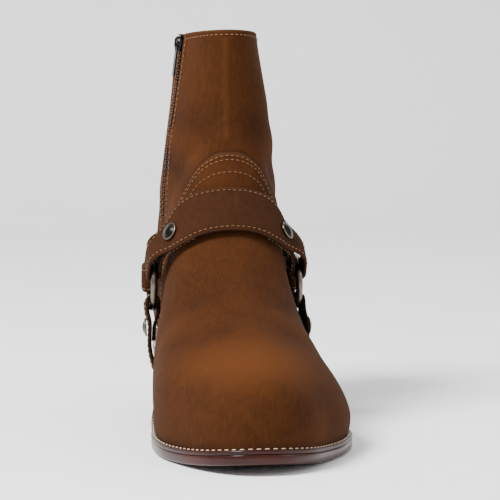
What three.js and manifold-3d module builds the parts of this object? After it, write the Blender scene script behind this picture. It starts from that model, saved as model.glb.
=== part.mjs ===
// Left harness boot: a hollow suede upper on a welted leather sole, a ring harness and an inner side zip.
// Millimetres, +Z up. The toe points to -Y and the outer side of the foot is +X. The origin is the middle
// of the heel's tread.

import * as THREE from 'three';
import { mergeVertices } from 'three/addons/utils/BufferGeometryUtils.js';
import Module from 'manifold-3d';

// Main sizes
const SOLE_LENGTH = 300;
const HEEL_BACK = 38; // from the origin to the back of the upper
const BALL_WIDTH = 104;
const INSTEP_HEIGHT = 122; // floor to the instep under its strap
const SHAFT_HEIGHT = 226; // floor to the collar's front
const BACK_HEIGHT = 219.5; // floor to the collar's back
const COLLAR_WIDTH = 46;

// Upper
const WALL = 2;
const OVERLAY = 1.1; // how far the vamp and the counter stand proud of the shaft
const GAP = 0.3; // between curved pieces that meet
const UNDERCUT = 13; // how far the sections run on below the sole's top before they are cut there
const LASTED_MARGIN = 15; // from the sole's edge to the opening under the foot

// Sole and heel
const OUTSOLE = 5.4;
const WELT = 2.6;
const WELT_REACH = 2; // beyond the upper's widest line
const INSOLE = 2.5;
const HEEL_HEIGHT = 36;
const TOP_PIECE = 7;
const LIFTS = 4;
const HEEL_TAPER = 4.5;
const BREAST = 30; // from the origin forward to the heel's front
const LAYER_STEP = 9; // between the stations of the sole's curves
const SEAT_END = BREAST + LAYER_STEP; // where the sole leaves the heel seat and runs down
const TREAD_BACK = 138; // where it reaches the floor
const TREAD_FRONT = 198; // where the toe spring begins
const TOE_SPRING = 6.5;

// Harness
const RING_SHARE = 113 / 300; // from the heel's back forward to the rings, as a share of the sole's length
const RING_BACK = RING_SHARE * SOLE_LENGTH - HEEL_BACK; // and from the origin
const RING_HEIGHT = 81;
const RING_WIDTH = 32;
const RING_WIRE = 4;
const STRAP = 2; // leather thickness
const LOOP_WIDTH = 15; // strap at its ring
const REST = 0.8; // least distance of a strap from the upper at its ring
const INSTEP_OUTER_REST = 1.8; // and past its rivet
const INSTEP_INNER_REST = 3;
const HEEL_REST = 0.8;
const SIDE_OUTER_REST = 5.5;
const SIDE_INNER_REST = 2.2;
const INSTEP_WIDTH = 28;
const HEEL_STRAP_WIDTH = 19;
const INSTEP_RIVET = 35; // rivets, from the rings along each strap
const HEEL_RIVET = 31;
const SIDE_RIVET = 26;
const INSTEP_HEM = 43; // ends of the layers folded back round the rings
const HEEL_HEM = 39;
const SIDE_HEM = 33;
const INSTEP_EASE = 3.4; // distance of each strap from the upper at its far side
const HEEL_EASE = 1.4;
const SIDE_EASE = 3;
const RIVET_WIDTH = 10.5;
const RIVET_RISE = 2.4;

// Zip
const ZIP_TAPE = 6;
const ZIP_DEPTH = 1.2;
const ZIP_TEETH = 3;
const TEETH_RISE = 0.7;
const ZIP_FOOT_SHARE = 0.679; // lower end of the zip, as a share of the section table's rows
const SLIDER_SHARE = 0.979; // and the slider
const SLIDER_WIDTH = 7;
const SLIDER_LENGTH = 10;
const PULL_LENGTH = 20;
const PULL_WIDTH = 5;
const PULL_DEPTH = 0.9;
const ZIP_TURN = -70; // degrees round each section from its front line to the zip, on the inner side

const wasm = await Module();
wasm.setup();

const ease = (f) => {
  const g = Math.min(Math.max(f, 0), 1);
  return g * g * (3 - 2 * g);
};
const mix = THREE.MathUtils.lerp;
const radians = THREE.MathUtils.degToRad;

// Height of the outsole's top, where the upper stands: level at the heel seat, down through the waist to
// the tread, and up again at the toe.
function soleTop(y) {
  const waist = ease((y + TREAD_BACK) / (TREAD_BACK - SEAT_END));
  const toe = Math.max(-y - TREAD_FRONT, 0) / (SOLE_LENGTH - HEEL_BACK - TREAD_FRONT);
  return OUTSOLE + HEEL_HEIGHT * waist + TOE_SPRING * toe * toe;
}

// The upper's sections, from the toe to the collar. Each is a plane across the boot from a point on its top
// and front line to a point on its bottom and back line.
//   top, foot      the two points, as shares of SOLE_LENGTH from the heel's back
//   rise           height of the top point: 0 to 1 up to INSTEP_HEIGHT, 1 to 2 on up to SHAFT_HEIGHT
//   back           height of the other point, as a share of the way from below the heel seat to BACK_HEIGHT
//   outer, inner   half widths, as shares of a width that goes from BALL_WIDTH to COLLAR_WIDTH as rise goes
//   sway           the section's middle, in the same shares, minus being the inner side
//   widest         share of the way up from the foot point where the section is widest
//   outerCrown, innerCrown, floor   fullness above that on each side, and below it, 2 being an ellipse
const SECTIONS = [
  {
    top: 0.984, rise: 0.197, foot: 0.984, back: 0, outer: 0, inner: 0,
    sway: -0.055, widest: 0.58, outerCrown: 2, innerCrown: 2.2, floor: 2.5,
  },
  {
    top: 0.979, rise: 0.29, foot: 0.979, back: 0, outer: 0.105, inner: 0.105,
    sway: -0.054, widest: 0.58, outerCrown: 2, innerCrown: 2.2, floor: 2.6,
  },
  {
    top: 0.96, rise: 0.35, foot: 0.96, back: 0, outer: 0.185, inner: 0.19,
    sway: -0.051, widest: 0.53, outerCrown: 2, innerCrown: 2.2, floor: 2.7,
  },
  {
    top: 0.925, rise: 0.405, foot: 0.925, back: 0, outer: 0.268, inner: 0.275,
    sway: -0.046, widest: 0.46, outerCrown: 1.95, innerCrown: 2.2, floor: 2.7,
  },
  {
    top: 0.866, rise: 0.459, foot: 0.866, back: 0, outer: 0.357, inner: 0.366,
    sway: -0.036, widest: 0.4, outerCrown: 1.85, innerCrown: 2.25, floor: 2.7,
  },
  {
    top: 0.786, rise: 0.52, foot: 0.786, back: 0, outer: 0.465, inner: 0.455,
    sway: -0.02, widest: 0.35, outerCrown: 1.6, innerCrown: 2.3, floor: 2.7,
  },
  {
    top: 0.7, rise: 0.594, foot: 0.7, back: 0, outer: 0.524, inner: 0.49,
    sway: -0.006, widest: 0.32, outerCrown: 1.45, innerCrown: 2.35, floor: 2.7,
  },
  {
    top: 0.623, rise: 0.688, foot: 0.613, back: 0, outer: 0.485, inner: 0.472,
    sway: 0, widest: 0.31, outerCrown: 1.5, innerCrown: 2.4, floor: 2.7,
  },
  {
    top: 0.553, rise: 0.8, foot: 0.52, back: 0, outer: 0.415, inner: 0.448,
    sway: 0, widest: 0.31, outerCrown: 1.75, innerCrown: 2.4, floor: 2.7,
  },
  {
    top: 0.497, rise: 0.934, foot: 0.42, back: 0, outer: 0.355, inner: 0.397,
    sway: 0, widest: 0.34, outerCrown: 2.05, innerCrown: 2.3, floor: 2.6,
  },
  {
    top: 0.46, rise: 1.077, foot: 0.317, back: 0, outer: 0.35, inner: 0.372,
    sway: 0, widest: 0.36, outerCrown: 2.15, innerCrown: 2.2, floor: 2.5,
  },
  {
    top: 0.438, rise: 1.212, foot: 0.213, back: 0, outer: 0.378, inner: 0.39,
    sway: 0, widest: 0.36, outerCrown: 2.2, innerCrown: 2.2, floor: 2.5,
  },
  {
    top: 0.425, rise: 1.337, foot: 0.1, back: 0, outer: 0.448, inner: 0.425,
    sway: 0, widest: 0.34, outerCrown: 2.2, innerCrown: 2.2, floor: 2.4,
  },
  {
    top: 0.417, rise: 1.452, foot: 0.008, back: 0, outer: 0.476, inner: 0.438,
    sway: 0, widest: 0.34, outerCrown: 2.2, innerCrown: 2.2, floor: 2.15,
  },
  {
    top: 0.413, rise: 1.558, foot: 0.002, back: 0.186, outer: 0.498, inner: 0.46,
    sway: 0, widest: 0.4, outerCrown: 2.2, innerCrown: 2.2, floor: 2.05,
  },
  {
    top: 0.411, rise: 1.654, foot: 0.006, back: 0.343, outer: 0.51, inner: 0.48,
    sway: 0, widest: 0.45, outerCrown: 2.2, innerCrown: 2.2, floor: 2.05,
  },
  {
    top: 0.41, rise: 1.75, foot: 0.016, back: 0.532, outer: 0.505, inner: 0.478,
    sway: 0, widest: 0.48, outerCrown: 2.2, innerCrown: 2.2, floor: 2.1,
  },
  {
    top: 0.41, rise: 1.846, foot: 0.014, back: 0.73, outer: 0.494, inner: 0.472,
    sway: 0, widest: 0.5, outerCrown: 2.2, innerCrown: 2.2, floor: 2.15,
  },
  {
    top: 0.41, rise: 1.933, foot: 0.01, back: 0.887, outer: 0.494, inner: 0.474,
    sway: 0, widest: 0.5, outerCrown: 2.2, innerCrown: 2.2, floor: 2.2,
  },
  {
    top: 0.41, rise: 2, foot: 0.01, back: 1, outer: 0.5, inner: 0.48,
    sway: 0, widest: 0.5, outerCrown: 2.2, innerCrown: 2.2, floor: 2.2,
  },
];

const heelward = (share) => HEEL_BACK - share * SOLE_LENGTH;

function toSizes(row) {
  const shaft = Math.max(row.rise - 1, 0);
  const width = mix(BALL_WIDTH, COLLAR_WIDTH, shaft);
  const below = soleTop(heelward(row.foot)) - UNDERCUT;
  return {
    topY: heelward(row.top),
    topZ: Math.min(row.rise, 1) * INSTEP_HEIGHT + shaft * (SHAFT_HEIGHT - INSTEP_HEIGHT),
    footY: heelward(row.foot),
    footZ: mix(below, BACK_HEIGHT, row.back),
    outer: row.outer * width,
    inner: row.inner * width,
    sway: row.sway * width,
    widest: row.widest,
    outerCrown: row.outerCrown,
    innerCrown: row.innerCrown,
    floor: row.floor,
  };
}

const ROWS = SECTIONS.map(toSizes);
ROWS[0].footZ = ROWS[0].topZ;
const COLLAR = ROWS.length - 1;
const COLUMNS = Object.keys(ROWS[0]);

// The row beyond each end: the toe's is the first section mirrored through the tip, so that the toe is round.
const MIRRORED = ['outer', 'inner', 'topZ', 'footZ'];
const beforeToe = {};
const pastCollar = {};
for (const column of COLUMNS) {
  const mirrored = 2 * ROWS[0][column] - ROWS[1][column];
  beforeToe[column] = MIRRORED.includes(column) ? mirrored : ROWS[1][column];
  pastCollar[column] = 2 * ROWS[COLLAR][column] - ROWS[COLLAR - 1][column];
}
const SPLINE = [beforeToe, ...ROWS, pastCollar];

// The section at u, counted in rows from the toe, on a Catmull-Rom curve through the table.
function sectionAt(u) {
  const i = Math.min(Math.floor(u), COLLAR - 1);
  const f = u - i;
  const section = {};
  for (const column of COLUMNS) {
    const [a, b, c, d] = [0, 1, 2, 3].map((k) => SPLINE[i + k][column]);
    const bend = (2 * a - 5 * b + 4 * c - d) * f * f + (3 * b - a - 3 * c + d) * f ** 3;
    section[column] = 0.5 * (2 * b + (c - a) * f + bend);
  }
  return section;
}

// The upper's outside: u runs from the toe to the collar, t round the section from its top over the outer
// side.
function form(u, t) {
  const s = sectionAt(u);
  const up = Math.cos(t);
  const out = Math.sin(t);
  const crown = out > 0 ? s.outerCrown : s.innerCrown;
  const power = up > 0 ? crown : s.floor;
  const reach = (Math.abs(up) ** power + Math.abs(out) ** power) ** (-1 / power);
  const share = s.widest + up * reach * (up > 0 ? 1 - s.widest : s.widest);
  const x = s.sway + out * reach * (out > 0 ? s.outer : s.inner);
  return new THREE.Vector3(x, mix(s.footY, s.topY, share), mix(s.footZ, s.topZ, share));
}

function skinPoint(u, t, lift) {
  const step = 1e-3;
  const along = form(Math.min(u + step, COLLAR), t).sub(form(Math.max(u - step, 0), t));
  const round = form(u, t + step).sub(form(u, t - step));
  const normal = round.cross(along).normalize();
  return form(u, t).addScaledVector(normal, lift);
}

// How far the outside stands from the middle plane at a height and a place along the boot, on one side (1 is
// the outer side, -1 the inner). Beyond the profile it is the section's middle.
function skinX(y, z, side) {
  let low = 0.01;
  let high = COLLAR;
  for (let i = 0; i < 40; i++) {
    const middle = (low + high) / 2;
    const s = sectionAt(middle);
    const turn = (s.topY - s.footY) * (z - s.footZ) - (s.topZ - s.footZ) * (y - s.footY);
    if (turn < 0) low = middle;
    else high = middle;
  }
  const s = sectionAt(low);
  const chord = Math.hypot(s.topY - s.footY, s.topZ - s.footZ);
  const share = ((y - s.footY) * (s.topY - s.footY) + (z - s.footZ) * (s.topZ - s.footZ)) / chord ** 2;
  const crown = side > 0 ? s.outerCrown : s.innerCrown;
  const power = share > s.widest ? crown : s.floor;
  const off = (share - s.widest) / (share > s.widest ? 1 - s.widest : s.widest);
  const half = side > 0 ? s.outer : s.inner;
  return s.sway * side + half * Math.max(1 - Math.abs(off) ** power, 0) ** (1 / power);
}

// A closed mesh through rings of points, each ring with as many points or a single one at a tip.
function loft(rings) {
  const positions = [];
  const index = [];
  const starts = rings.map((ring) => {
    const start = positions.length / 3;
    ring.forEach((p) => positions.push(p.x, p.y, p.z));
    return start;
  });
  for (let r = 0; r + 1 < rings.length; r++) {
    const [a, b] = [rings[r].length, rings[r + 1].length];
    for (let i = 0; i < Math.max(a, b); i++) {
      const corners = [starts[r] + (i % a), starts[r] + ((i + 1) % a)];
      const next = [starts[r + 1] + (i % b), starts[r + 1] + ((i + 1) % b)];
      if (a > 1) index.push(corners[0], corners[1], next[1]);
      if (b > 1) index.push(corners[0], next[1], next[0]);
    }
  }
  const cap = (ring, start, turned) => {
    if (ring.length < 2) return;
    const middle = new THREE.Vector3();
    ring.forEach((p) => middle.addScaledVector(p, 1 / ring.length));
    const centre = positions.length / 3;
    positions.push(middle.x, middle.y, middle.z);
    for (let i = 0; i < ring.length; i++) {
      const j = (i + 1) % ring.length;
      if (turned) index.push(centre, start + j, start + i);
      else index.push(centre, start + i, start + j);
    }
  };
  cap(rings[0], starts[0], true);
  cap(rings[rings.length - 1], starts[rings.length - 1], false);
  const geometry = new THREE.BufferGeometry();
  geometry.setAttribute('position', new THREE.Float32BufferAttribute(positions, 3));
  geometry.setIndex(index);
  return geometry;
}

// A manifold solid of a closed mesh, with its faces turned out.
function solid(geometry) {
  const bare = geometry.clone();
  bare.deleteAttribute('normal');
  bare.deleteAttribute('uv');
  const merged = mergeVertices(bare, 1e-4);
  const p = merged.attributes.position;
  const triVerts = new Uint32Array(merged.index.array);
  const corner = (i) => new THREE.Vector3().fromBufferAttribute(p, triVerts[i]);
  let volume = 0;
  for (let i = 0; i < triVerts.length; i += 3) {
    volume += corner(i).dot(corner(i + 1).cross(corner(i + 2)));
  }
  if (volume < 0) triVerts.reverse();
  const vertProperties = new Float32Array(p.array);
  return new wasm.Manifold(new wasm.Mesh({ numProp: 3, vertProperties, triVerts }));
}

function toGeometry(manifold) {
  const mesh = manifold.getMesh();
  const geometry = new THREE.BufferGeometry();
  geometry.setAttribute('position', new THREE.Float32BufferAttribute(mesh.vertProperties, 3));
  geometry.setIndex(new THREE.Uint32BufferAttribute(mesh.triVerts, 1));
  return geometry;
}

// The upper's outside moved out or in by a lift, as a solid. Past the collar it goes on up by a given height.
function skin(lift, around, rowStep, past = 0) {
  const rings = [[form(0, 0).add(new THREE.Vector3(0, -lift, 0))]];
  const toe = 3;
  for (let u = rowStep / 2; u < toe; u += rowStep / 2) rings.push(ring(u));
  for (let u = toe; u < COLLAR - rowStep / 4; u += rowStep) rings.push(ring(u));
  rings.push(ring(COLLAR));
  if (past > 0) rings.push(ring(COLLAR).map((p) => p.add(new THREE.Vector3(0, 0, past))));
  return solid(loft(rings));

  function ring(u) {
    return Array.from({ length: around }, (_, i) => skinPoint(u, (2 * Math.PI * i) / around, lift));
  }
}

// A layer of the sole, wider than the boot, between two heights above the sole's top.
const LAYER_HALF = BALL_WIDTH;
function layer(from, to) {
  const rings = [];
  const ends = [HEEL_BACK + LAYER_STEP, HEEL_BACK - SOLE_LENGTH - LAYER_STEP];
  const steps = Math.round((ends[0] - ends[1]) / LAYER_STEP);
  for (let i = 0; i <= steps; i++) {
    const y = mix(ends[0], ends[1], i / steps);
    const corners = [[-1, from], [1, from], [1, to], [-1, to]];
    rings.push(corners.map(([side, rise]) => new THREE.Vector3(side * LAYER_HALF, y, soleTop(y) + rise)));
  }
  return solid(loft(rings));
}

// The sole's outline, worked out from the upper's sections where they are near their widest, moved out by a
// reach.
const FEATHER = 12; // height above the sole's top at which the sections are taken
function outline(reach) {
  const outerSide = [];
  const innerSide = [];
  const stations = 46;
  const ends = [profileEnd(1), profileEnd(-1)];
  for (let i = 0; i <= stations; i++) {
    const y = mix(ends[0], ends[1], (1 - Math.cos((Math.PI * i) / stations)) / 2);
    const z = soleTop(y) + FEATHER;
    outerSide.push(new THREE.Vector2(skinX(y, z, 1), y));
    if (i > 0 && i < stations) innerSide.push(new THREE.Vector2(-skinX(y, z, -1), y));
  }
  const loop = [...outerSide, ...innerSide.reverse()];
  return loop.map((p, i) => {
    const before = loop[(i + loop.length - 1) % loop.length];
    const after = loop[(i + 1) % loop.length];
    const along = after.clone().sub(before).normalize();
    return new THREE.Vector2(p.x - along.y * reach, p.y + along.x * reach);
  });
}

// The end of the profile at the feather height, at the heel (1) or the toe (-1).
function profileEnd(end) {
  let inside = end > 0 ? 0 : -TREAD_BACK;
  let outside = end > 0 ? HEEL_BACK + UNDERCUT : -SOLE_LENGTH;
  for (let i = 0; i < 40; i++) {
    const y = (inside + outside) / 2;
    const z = soleTop(y) + FEATHER;
    if (skinX(y, z, 1) + skinX(y, z, -1) > 1e-3) inside = y;
    else outside = y;
  }
  return inside;
}

// A block between two loops at two heights.
function block(low, high, lowZ, highZ) {
  const ring = (loop, z) => loop.map((p) => new THREE.Vector3(p.x, p.y, z));
  return solid(loft([ring(low, lowZ), ring(high, highZ)]));
}

// A block across the boot over an outline of its side view, given as points of y and z.
function acrossBoot(points) {
  const shape = new THREE.Shape(points.map(([y, z]) => new THREE.Vector2(y, z)));
  const geometry = new THREE.ExtrudeGeometry(shape, { depth: 2 * LAYER_HALF, bevelEnabled: false });
  geometry.rotateX(Math.PI / 2).rotateZ(Math.PI / 2).translate(-LAYER_HALF, 0, 0);
  return solid(geometry);
}

const group = new THREE.Group();
function add(name, shape, colour, roughness, metalness = 0) {
  const geometry = shape instanceof THREE.BufferGeometry ? shape : toGeometry(shape);
  const material = new THREE.MeshStandardMaterial({ color: colour, roughness, metalness });
  const mesh = new THREE.Mesh(geometry, material);
  mesh.name = name;
  group.add(mesh);
}

const SUEDE = 0x7a4520;
const STRAP_LEATHER = 0x6a3a1c;
const SOLE_LEATHER = 0x3a1a12;
const WELT_LEATHER = 0x54301c;
const RUBBER = 0x1a1614;
const NICKEL = 0xb9b2a6;
const GUNMETAL = 0x2b2a2b;

// The strap planes all run through both rings. Each is given by its angle up from straight back.
const INSTEP_ANGLE = radians(127);
const HEEL_ANGLE = radians(8);
const SIDE_ANGLE = radians(-103);
const INSTEP_TWIST = radians(17); // to lie along the slope of the instep
const SIDE_LEAN = -0.08; // to lie along the side, which widens towards the toe
const wireRoom = RING_WIRE / 2 + GAP + STRAP / 2; // from the wire's middle to that of the strap round it
const lying = (strap, side) => OVERLAY + (side > 0 ? strap.outerRest : strap.innerRest) + STRAP / 2;
const standing = OVERLAY + REST + STRAP + GAP + RING_WIRE / 2; // from the upper to the ring's middle
const ringMiddle = (RING_WIDTH - RING_WIRE) / 2;
const foldInside = Math.sqrt((ringMiddle - RING_WIRE / 2) ** 2 - (LOOP_WIDTH / 2) ** 2) - GAP;
const fold = foldInside + wireRoom - STRAP / 2; // from the ring's middle to the middle of a strap's fold
const ringEnd = RING_WIDTH / 2 + GAP;
const ringX = (side) => skinX(-RING_BACK - ringMiddle / 2, RING_HEIGHT - ringMiddle / 2, side) + standing;

// A point in a strap's plane: x, then q from the rings along the plane and w across it.
function inPlane(angle, x, q, w = 0) {
  const y = -RING_BACK + q * Math.cos(angle) - w * Math.sin(angle);
  return new THREE.Vector3(x, y, RING_HEIGHT + q * Math.sin(angle) + w * Math.cos(angle));
}

// A point off the upper in a strap's plane, as a distance from the middle plane and q, moved out by a lift.
function offSkin(angle, side, q, lift) {
  const at = (r) => skinX(-RING_BACK + r * Math.cos(angle), RING_HEIGHT + r * Math.sin(angle), side);
  const step = 0.05;
  const slope = (at(q) - at(q - step)) / step;
  const length = Math.hypot(1, slope);
  return new THREE.Vector2(at(q) + lift / length, q - (lift * slope) / length);
}

// Lift of a strap's layer near its ring: level with the ring first, and against the boot from its rivet on.
function liftAt(strap, side, q, offset, then) {
  const level = ringX(side) + offset - offSkin(strap.angle, side, q, 0).x;
  return mix(level, then, ease((q - ringEnd) / (strap.rivet - ringEnd)));
}

// Lift of the outer layer, which comes down on the boot past the hem.
function outerLift(strap, side, q) {
  const over = liftAt(strap, side, q, wireRoom, lying(strap, side) + STRAP + GAP);
  return mix(over, OVERLAY + STRAP / 2 + strap.ease, ease((q - strap.hem - STRAP) / (strap.far - strap.hem)));
}

// Half a strap on one side, from the end of its folded layer round the ring to the point at q = far.
function strapHalf(strap, side) {
  const { angle, far, hem } = strap;
  const middle = ringX(side);
  const points = [];
  const steps = 5;
  for (let i = 0; i < steps; i++) {
    const q = mix(hem, fold, i / steps);
    points.push(offSkin(angle, side, q, liftAt(strap, side, q, -wireRoom, lying(strap, side))));
  }
  for (let i = 0; i <= 6; i++) {
    const turn = (Math.PI * i) / 6;
    points.push(new THREE.Vector2(middle - wireRoom * Math.cos(turn), fold - wireRoom * Math.sin(turn)));
  }
  points.push(new THREE.Vector2(middle + wireRoom, ringEnd));
  const down = hem + STRAP;
  for (let i = 1; i <= steps; i++) {
    const q = mix(ringEnd, down, i / steps);
    points.push(offSkin(angle, side, q, outerLift(strap, side, q)));
  }
  const roundSteps = 8;
  for (let i = 1; i < roundSteps; i++) {
    const q = far * Math.cos(Math.acos(down / far) * (1 - i / roundSteps));
    points.push(offSkin(angle, side, q, outerLift(strap, side, q)));
  }
  return points.map((p) => new THREE.Vector2(p.x * side, p.y));
}

// Share of the way that a strap has come, from its loop to its far end.
const pastLoop = (strap, q) => ease((q - strap.hem / 2) / (strap.far - strap.hem / 2));

// Direction across a strap. Past its loop it turns about the boot's width by its twist, and leans with the
// upper's side by its lean.
function strapAcross(strap, q, side) {
  const across = inPlane(strap.angle + strap.twist * pastLoop(strap, q), 0, 0, 1).sub(inPlane(0, 0, 0));
  across.x = side * strap.lean * ease((q - ringEnd / 2) / ringEnd);
  return across;
}

// A strap of leather along a path in its plane.
function strapSolid(strap, path) {
  const points = path.map((p) => inPlane(strap.angle, p.x, p.y));
  const rings = points.map((point, i) => {
    const before = points[Math.max(i - 1, 0)];
    const after = points[Math.min(i + 1, points.length - 1)];
    const along = after.clone().sub(before).normalize();
    const across = strapAcross(strap, path[i].y, Math.sign(path[i].x));
    across.addScaledVector(along, -across.dot(along)).normalize();
    const out = along.clone().cross(across).multiplyScalar(STRAP / 2);
    across.multiplyScalar(mix(LOOP_WIDTH, strap.wide, pastLoop(strap, path[i].y)) / 2);
    const corners = [[-1, -1], [1, -1], [1, 1], [-1, 1]];
    return corners.map(([w, h]) => point.clone().addScaledVector(across, w).addScaledVector(out, h));
  });
  return solid(loft(rings));
}

// Distance from the rings to the upper's profile, along a strap's plane.
function profileReach(angle) {
  let inside = 0;
  let outsideReach = SOLE_LENGTH / 2;
  for (let i = 0; i < 40; i++) {
    const q = (inside + outsideReach) / 2;
    const [y, z] = [-RING_BACK + q * Math.cos(angle), RING_HEIGHT + q * Math.sin(angle)];
    if (skinX(y, z, 1) + skinX(y, z, -1) > 1e-3) inside = q;
    else outsideReach = q;
  }
  return inside;
}

// A strap from ring to ring round the far side of the boot.
function ringToRing(strap) {
  const middle = new THREE.Vector2(0, strap.far + OVERLAY + STRAP / 2 + strap.ease);
  return strapSolid(strap, [...strapHalf(strap, 1), middle, ...strapHalf(strap, -1).reverse()]);
}

// A rivet's domed head on a strap's outer face.
function rivet(strap, side) {
  const r = RIVET_WIDTH / 2;
  const face = (q) => {
    const p = offSkin(strap.angle, side, q, outerLift(strap, side, q) + STRAP / 2);
    return inPlane(strap.angle, p.x * side, p.y);
  };
  const place = face(strap.rivet);
  const [before, after] = [face(strap.rivet - r), face(strap.rivet + r)];
  const normal = after.clone().sub(before).cross(strapAcross(strap, strap.rivet, side)).normalize();
  normal.multiplyScalar(Math.sign(normal.x * side));
  const hollow = Math.max(before.sub(place).dot(normal), after.sub(place).dot(normal), 0);
  place.addScaledVector(normal, hollow + 2 * GAP);
  const shares = [[0, 0], [1, 0], [1, 0.35], [0.82, 0.72], [0.45, 0.95], [0, 1]];
  const profile = shares.map(([out, up]) => new THREE.Vector2(out * r, up * RIVET_RISE));
  const head = new THREE.LatheGeometry(profile, 12);
  const turn = new THREE.Quaternion().setFromUnitVectors(new THREE.Vector3(0, 1, 0), normal);
  return head.applyQuaternion(turn).translate(place.x, place.y, place.z);
}

// A ribbon on the zip's line, down the inner side, between two rows and two lifts off the skin.
function zipRibbon(width, low, high, from, to, past = 0) {
  const rings = [];
  const steps = Math.ceil((to - from) / 0.4);
  for (let i = 0; i <= steps; i++) rings.push(station(mix(from, to, i / steps)));
  if (past > 0) rings.push(rings[rings.length - 1].map((p) => p.clone().add(new THREE.Vector3(0, 0, past))));
  return solid(loft(rings));

  function station(u) {
    const { foot, across, out } = zipFrame(u);
    const corners = [[-1, low], [1, low], [1, high], [-1, high]];
    return corners.map(([side, lift]) =>
      foot.clone().addScaledVector(across, (side * width) / 2).addScaledVector(out, lift));
  }
}

const zipTurn = radians(ZIP_TURN);
function zipFrame(u) {
  const foot = skinPoint(u, zipTurn, 0);
  const out = skinPoint(u, zipTurn, 1).sub(foot);
  const step = 0.01;
  const up = form(Math.min(u + step, COLLAR), zipTurn).sub(form(u - step, zipTurn)).normalize();
  const across = up.cross(out).normalize();
  return { foot, across, up: out.clone().cross(across), out };
}

// The upper
const AROUND = 32; // corners round half a section, outside
const INSIDE_AROUND = 28;
const ROW_STEP = 0.5; // between its stations, in rows of the section table
const INSIDE_STEP = 0.75;
const FAR = 2 * SOLE_LENGTH;
const vampSeam = [[0.425, 1.28], [0.385, 1.1], [0.362, 0.92], [0.343, 0.7], [0.325, 0.45], [0.31, 0.2]];
const counterSeam = [[0.27, 0.2], [0.255, 0.45], [0.225, 0.66], [0.17, 0.8], [0.1, 0.87], [-0.1, 0.9]];
const seamPoint = ([share, rise]) => [heelward(share), rise * INSTEP_HEIGHT];
const vampFront = acrossBoot([[-FAR, -FAR], seamPoint([FAR, vampSeam[0][1]]), ...vampSeam.map(seamPoint),
  [heelward(0.3), -FAR]]);
const counterBack = acrossBoot([[heelward(0.28), -FAR], ...counterSeam.map(seamPoint), [FAR, -FAR]]);
const grown = skin(OVERLAY, AROUND, ROW_STEP);
const outside = skin(0, AROUND, ROW_STEP).add(grown.intersect(vampFront)).add(grown.intersect(counterBack));
const inside = skin(-WALL, INSIDE_AROUND, INSIDE_STEP, UNDERCUT);
const zipFoot = ZIP_FOOT_SHARE * COLLAR;
const slit = zipRibbon(ZIP_TAPE, -2 * WALL, WALL, zipFoot, COLLAR, UNDERCUT);
const footOpening = outline(-LASTED_MARGIN);
const upper = outside
  .subtract(layer(-SOLE_LENGTH, GAP))
  .subtract(inside.subtract(layer(-SOLE_LENGTH, GAP + WALL)))
  .subtract(block(footOpening, footOpening, -UNDERCUT, HEEL_HEIGHT + OUTSOLE + 2 * WALL))
  .subtract(slit);
add('upper', upper, SUEDE, 0.95);

const insoleBase = GAP + WALL + GAP;
const insole = skin(-WALL - GAP, INSIDE_AROUND, INSIDE_STEP).intersect(layer(insoleBase, insoleBase + INSOLE));
add('insole', insole, WELT_LEATHER, 0.7);

// Sole and heel
const soleEdge = outline(WELT_REACH);
const solePlan = block(soleEdge, soleEdge, -UNDERCUT, INSTEP_HEIGHT);
add('outsole', solePlan.intersect(layer(-OUTSOLE, 0)), SOLE_LEATHER, 0.35);
const weltStrip = solePlan.intersect(layer(0, WELT)).subtract(skin(OVERLAY + GAP, AROUND, ROW_STEP));
add('welt', weltStrip, WELT_LEATHER, 0.5);

const heelEdge = (z) => outline(WELT_REACH - HEEL_TAPER * (1 - z / HEEL_HEIGHT));
const behindBreast = acrossBoot([[-BREAST, -1], [-BREAST, HEEL_HEIGHT + 1], [FAR, HEEL_HEIGHT + 1],
  [FAR, -1]]);
const heelLayer = (low, high) => block(heelEdge(low), heelEdge(high), low, high).intersect(behindBreast);
add('heel_top_piece', heelLayer(0, TOP_PIECE), RUBBER, 0.7);
for (let i = 0; i < LIFTS; i++) {
  const height = (share) => mix(TOP_PIECE, HEEL_HEIGHT, share / LIFTS);
  add(`heel_lift_${i + 1}`, heelLayer(height(i), height(i + 1)), SOLE_LEATHER, 0.4);
}

// Harness
const instepStrap = {
  angle: INSTEP_ANGLE, far: profileReach(INSTEP_ANGLE), hem: INSTEP_HEM, rivet: INSTEP_RIVET,
  outerRest: INSTEP_OUTER_REST, innerRest: INSTEP_INNER_REST, ease: INSTEP_EASE,
  wide: INSTEP_WIDTH, twist: INSTEP_TWIST, lean: 0,
};
const heelStrap = {
  angle: HEEL_ANGLE, far: profileReach(HEEL_ANGLE), hem: HEEL_HEM, rivet: HEEL_RIVET,
  outerRest: HEEL_REST, innerRest: HEEL_REST, ease: HEEL_EASE,
  wide: HEEL_STRAP_WIDTH, twist: 0, lean: 0,
};
const sideStrap = {
  angle: SIDE_ANGLE, far: sideStrapEnd(), hem: SIDE_HEM, rivet: SIDE_RIVET,
  outerRest: SIDE_OUTER_REST, innerRest: SIDE_INNER_REST, ease: SIDE_EASE,
  wide: LOOP_WIDTH, twist: 0, lean: SIDE_LEAN,
};
add('instep_strap', ringToRing(instepStrap), STRAP_LEATHER, 0.8);
add('heel_strap', ringToRing(heelStrap), STRAP_LEATHER, 0.8);
for (const [place, side] of [['outer', 1], ['inner', -1]]) {
  add(`side_strap_${place}`, strapSolid(sideStrap, strapHalf(sideStrap, side)), STRAP_LEATHER, 0.8);

  const ring = new THREE.TorusGeometry(ringMiddle, RING_WIRE / 2, 6, 24);
  ring.rotateY(Math.PI / 2).translate(side * ringX(side), -RING_BACK, RING_HEIGHT);
  add(`ring_${place}`, ring, NICKEL, 0.3, 1);

  add(`rivet_instep_${place}`, rivet(instepStrap, side), NICKEL, 0.3, 1);
  add(`rivet_heel_${place}`, rivet(heelStrap, side), NICKEL, 0.3, 1);
  add(`rivet_side_${place}`, rivet(sideStrap, side), NICKEL, 0.3, 1);
}

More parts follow.
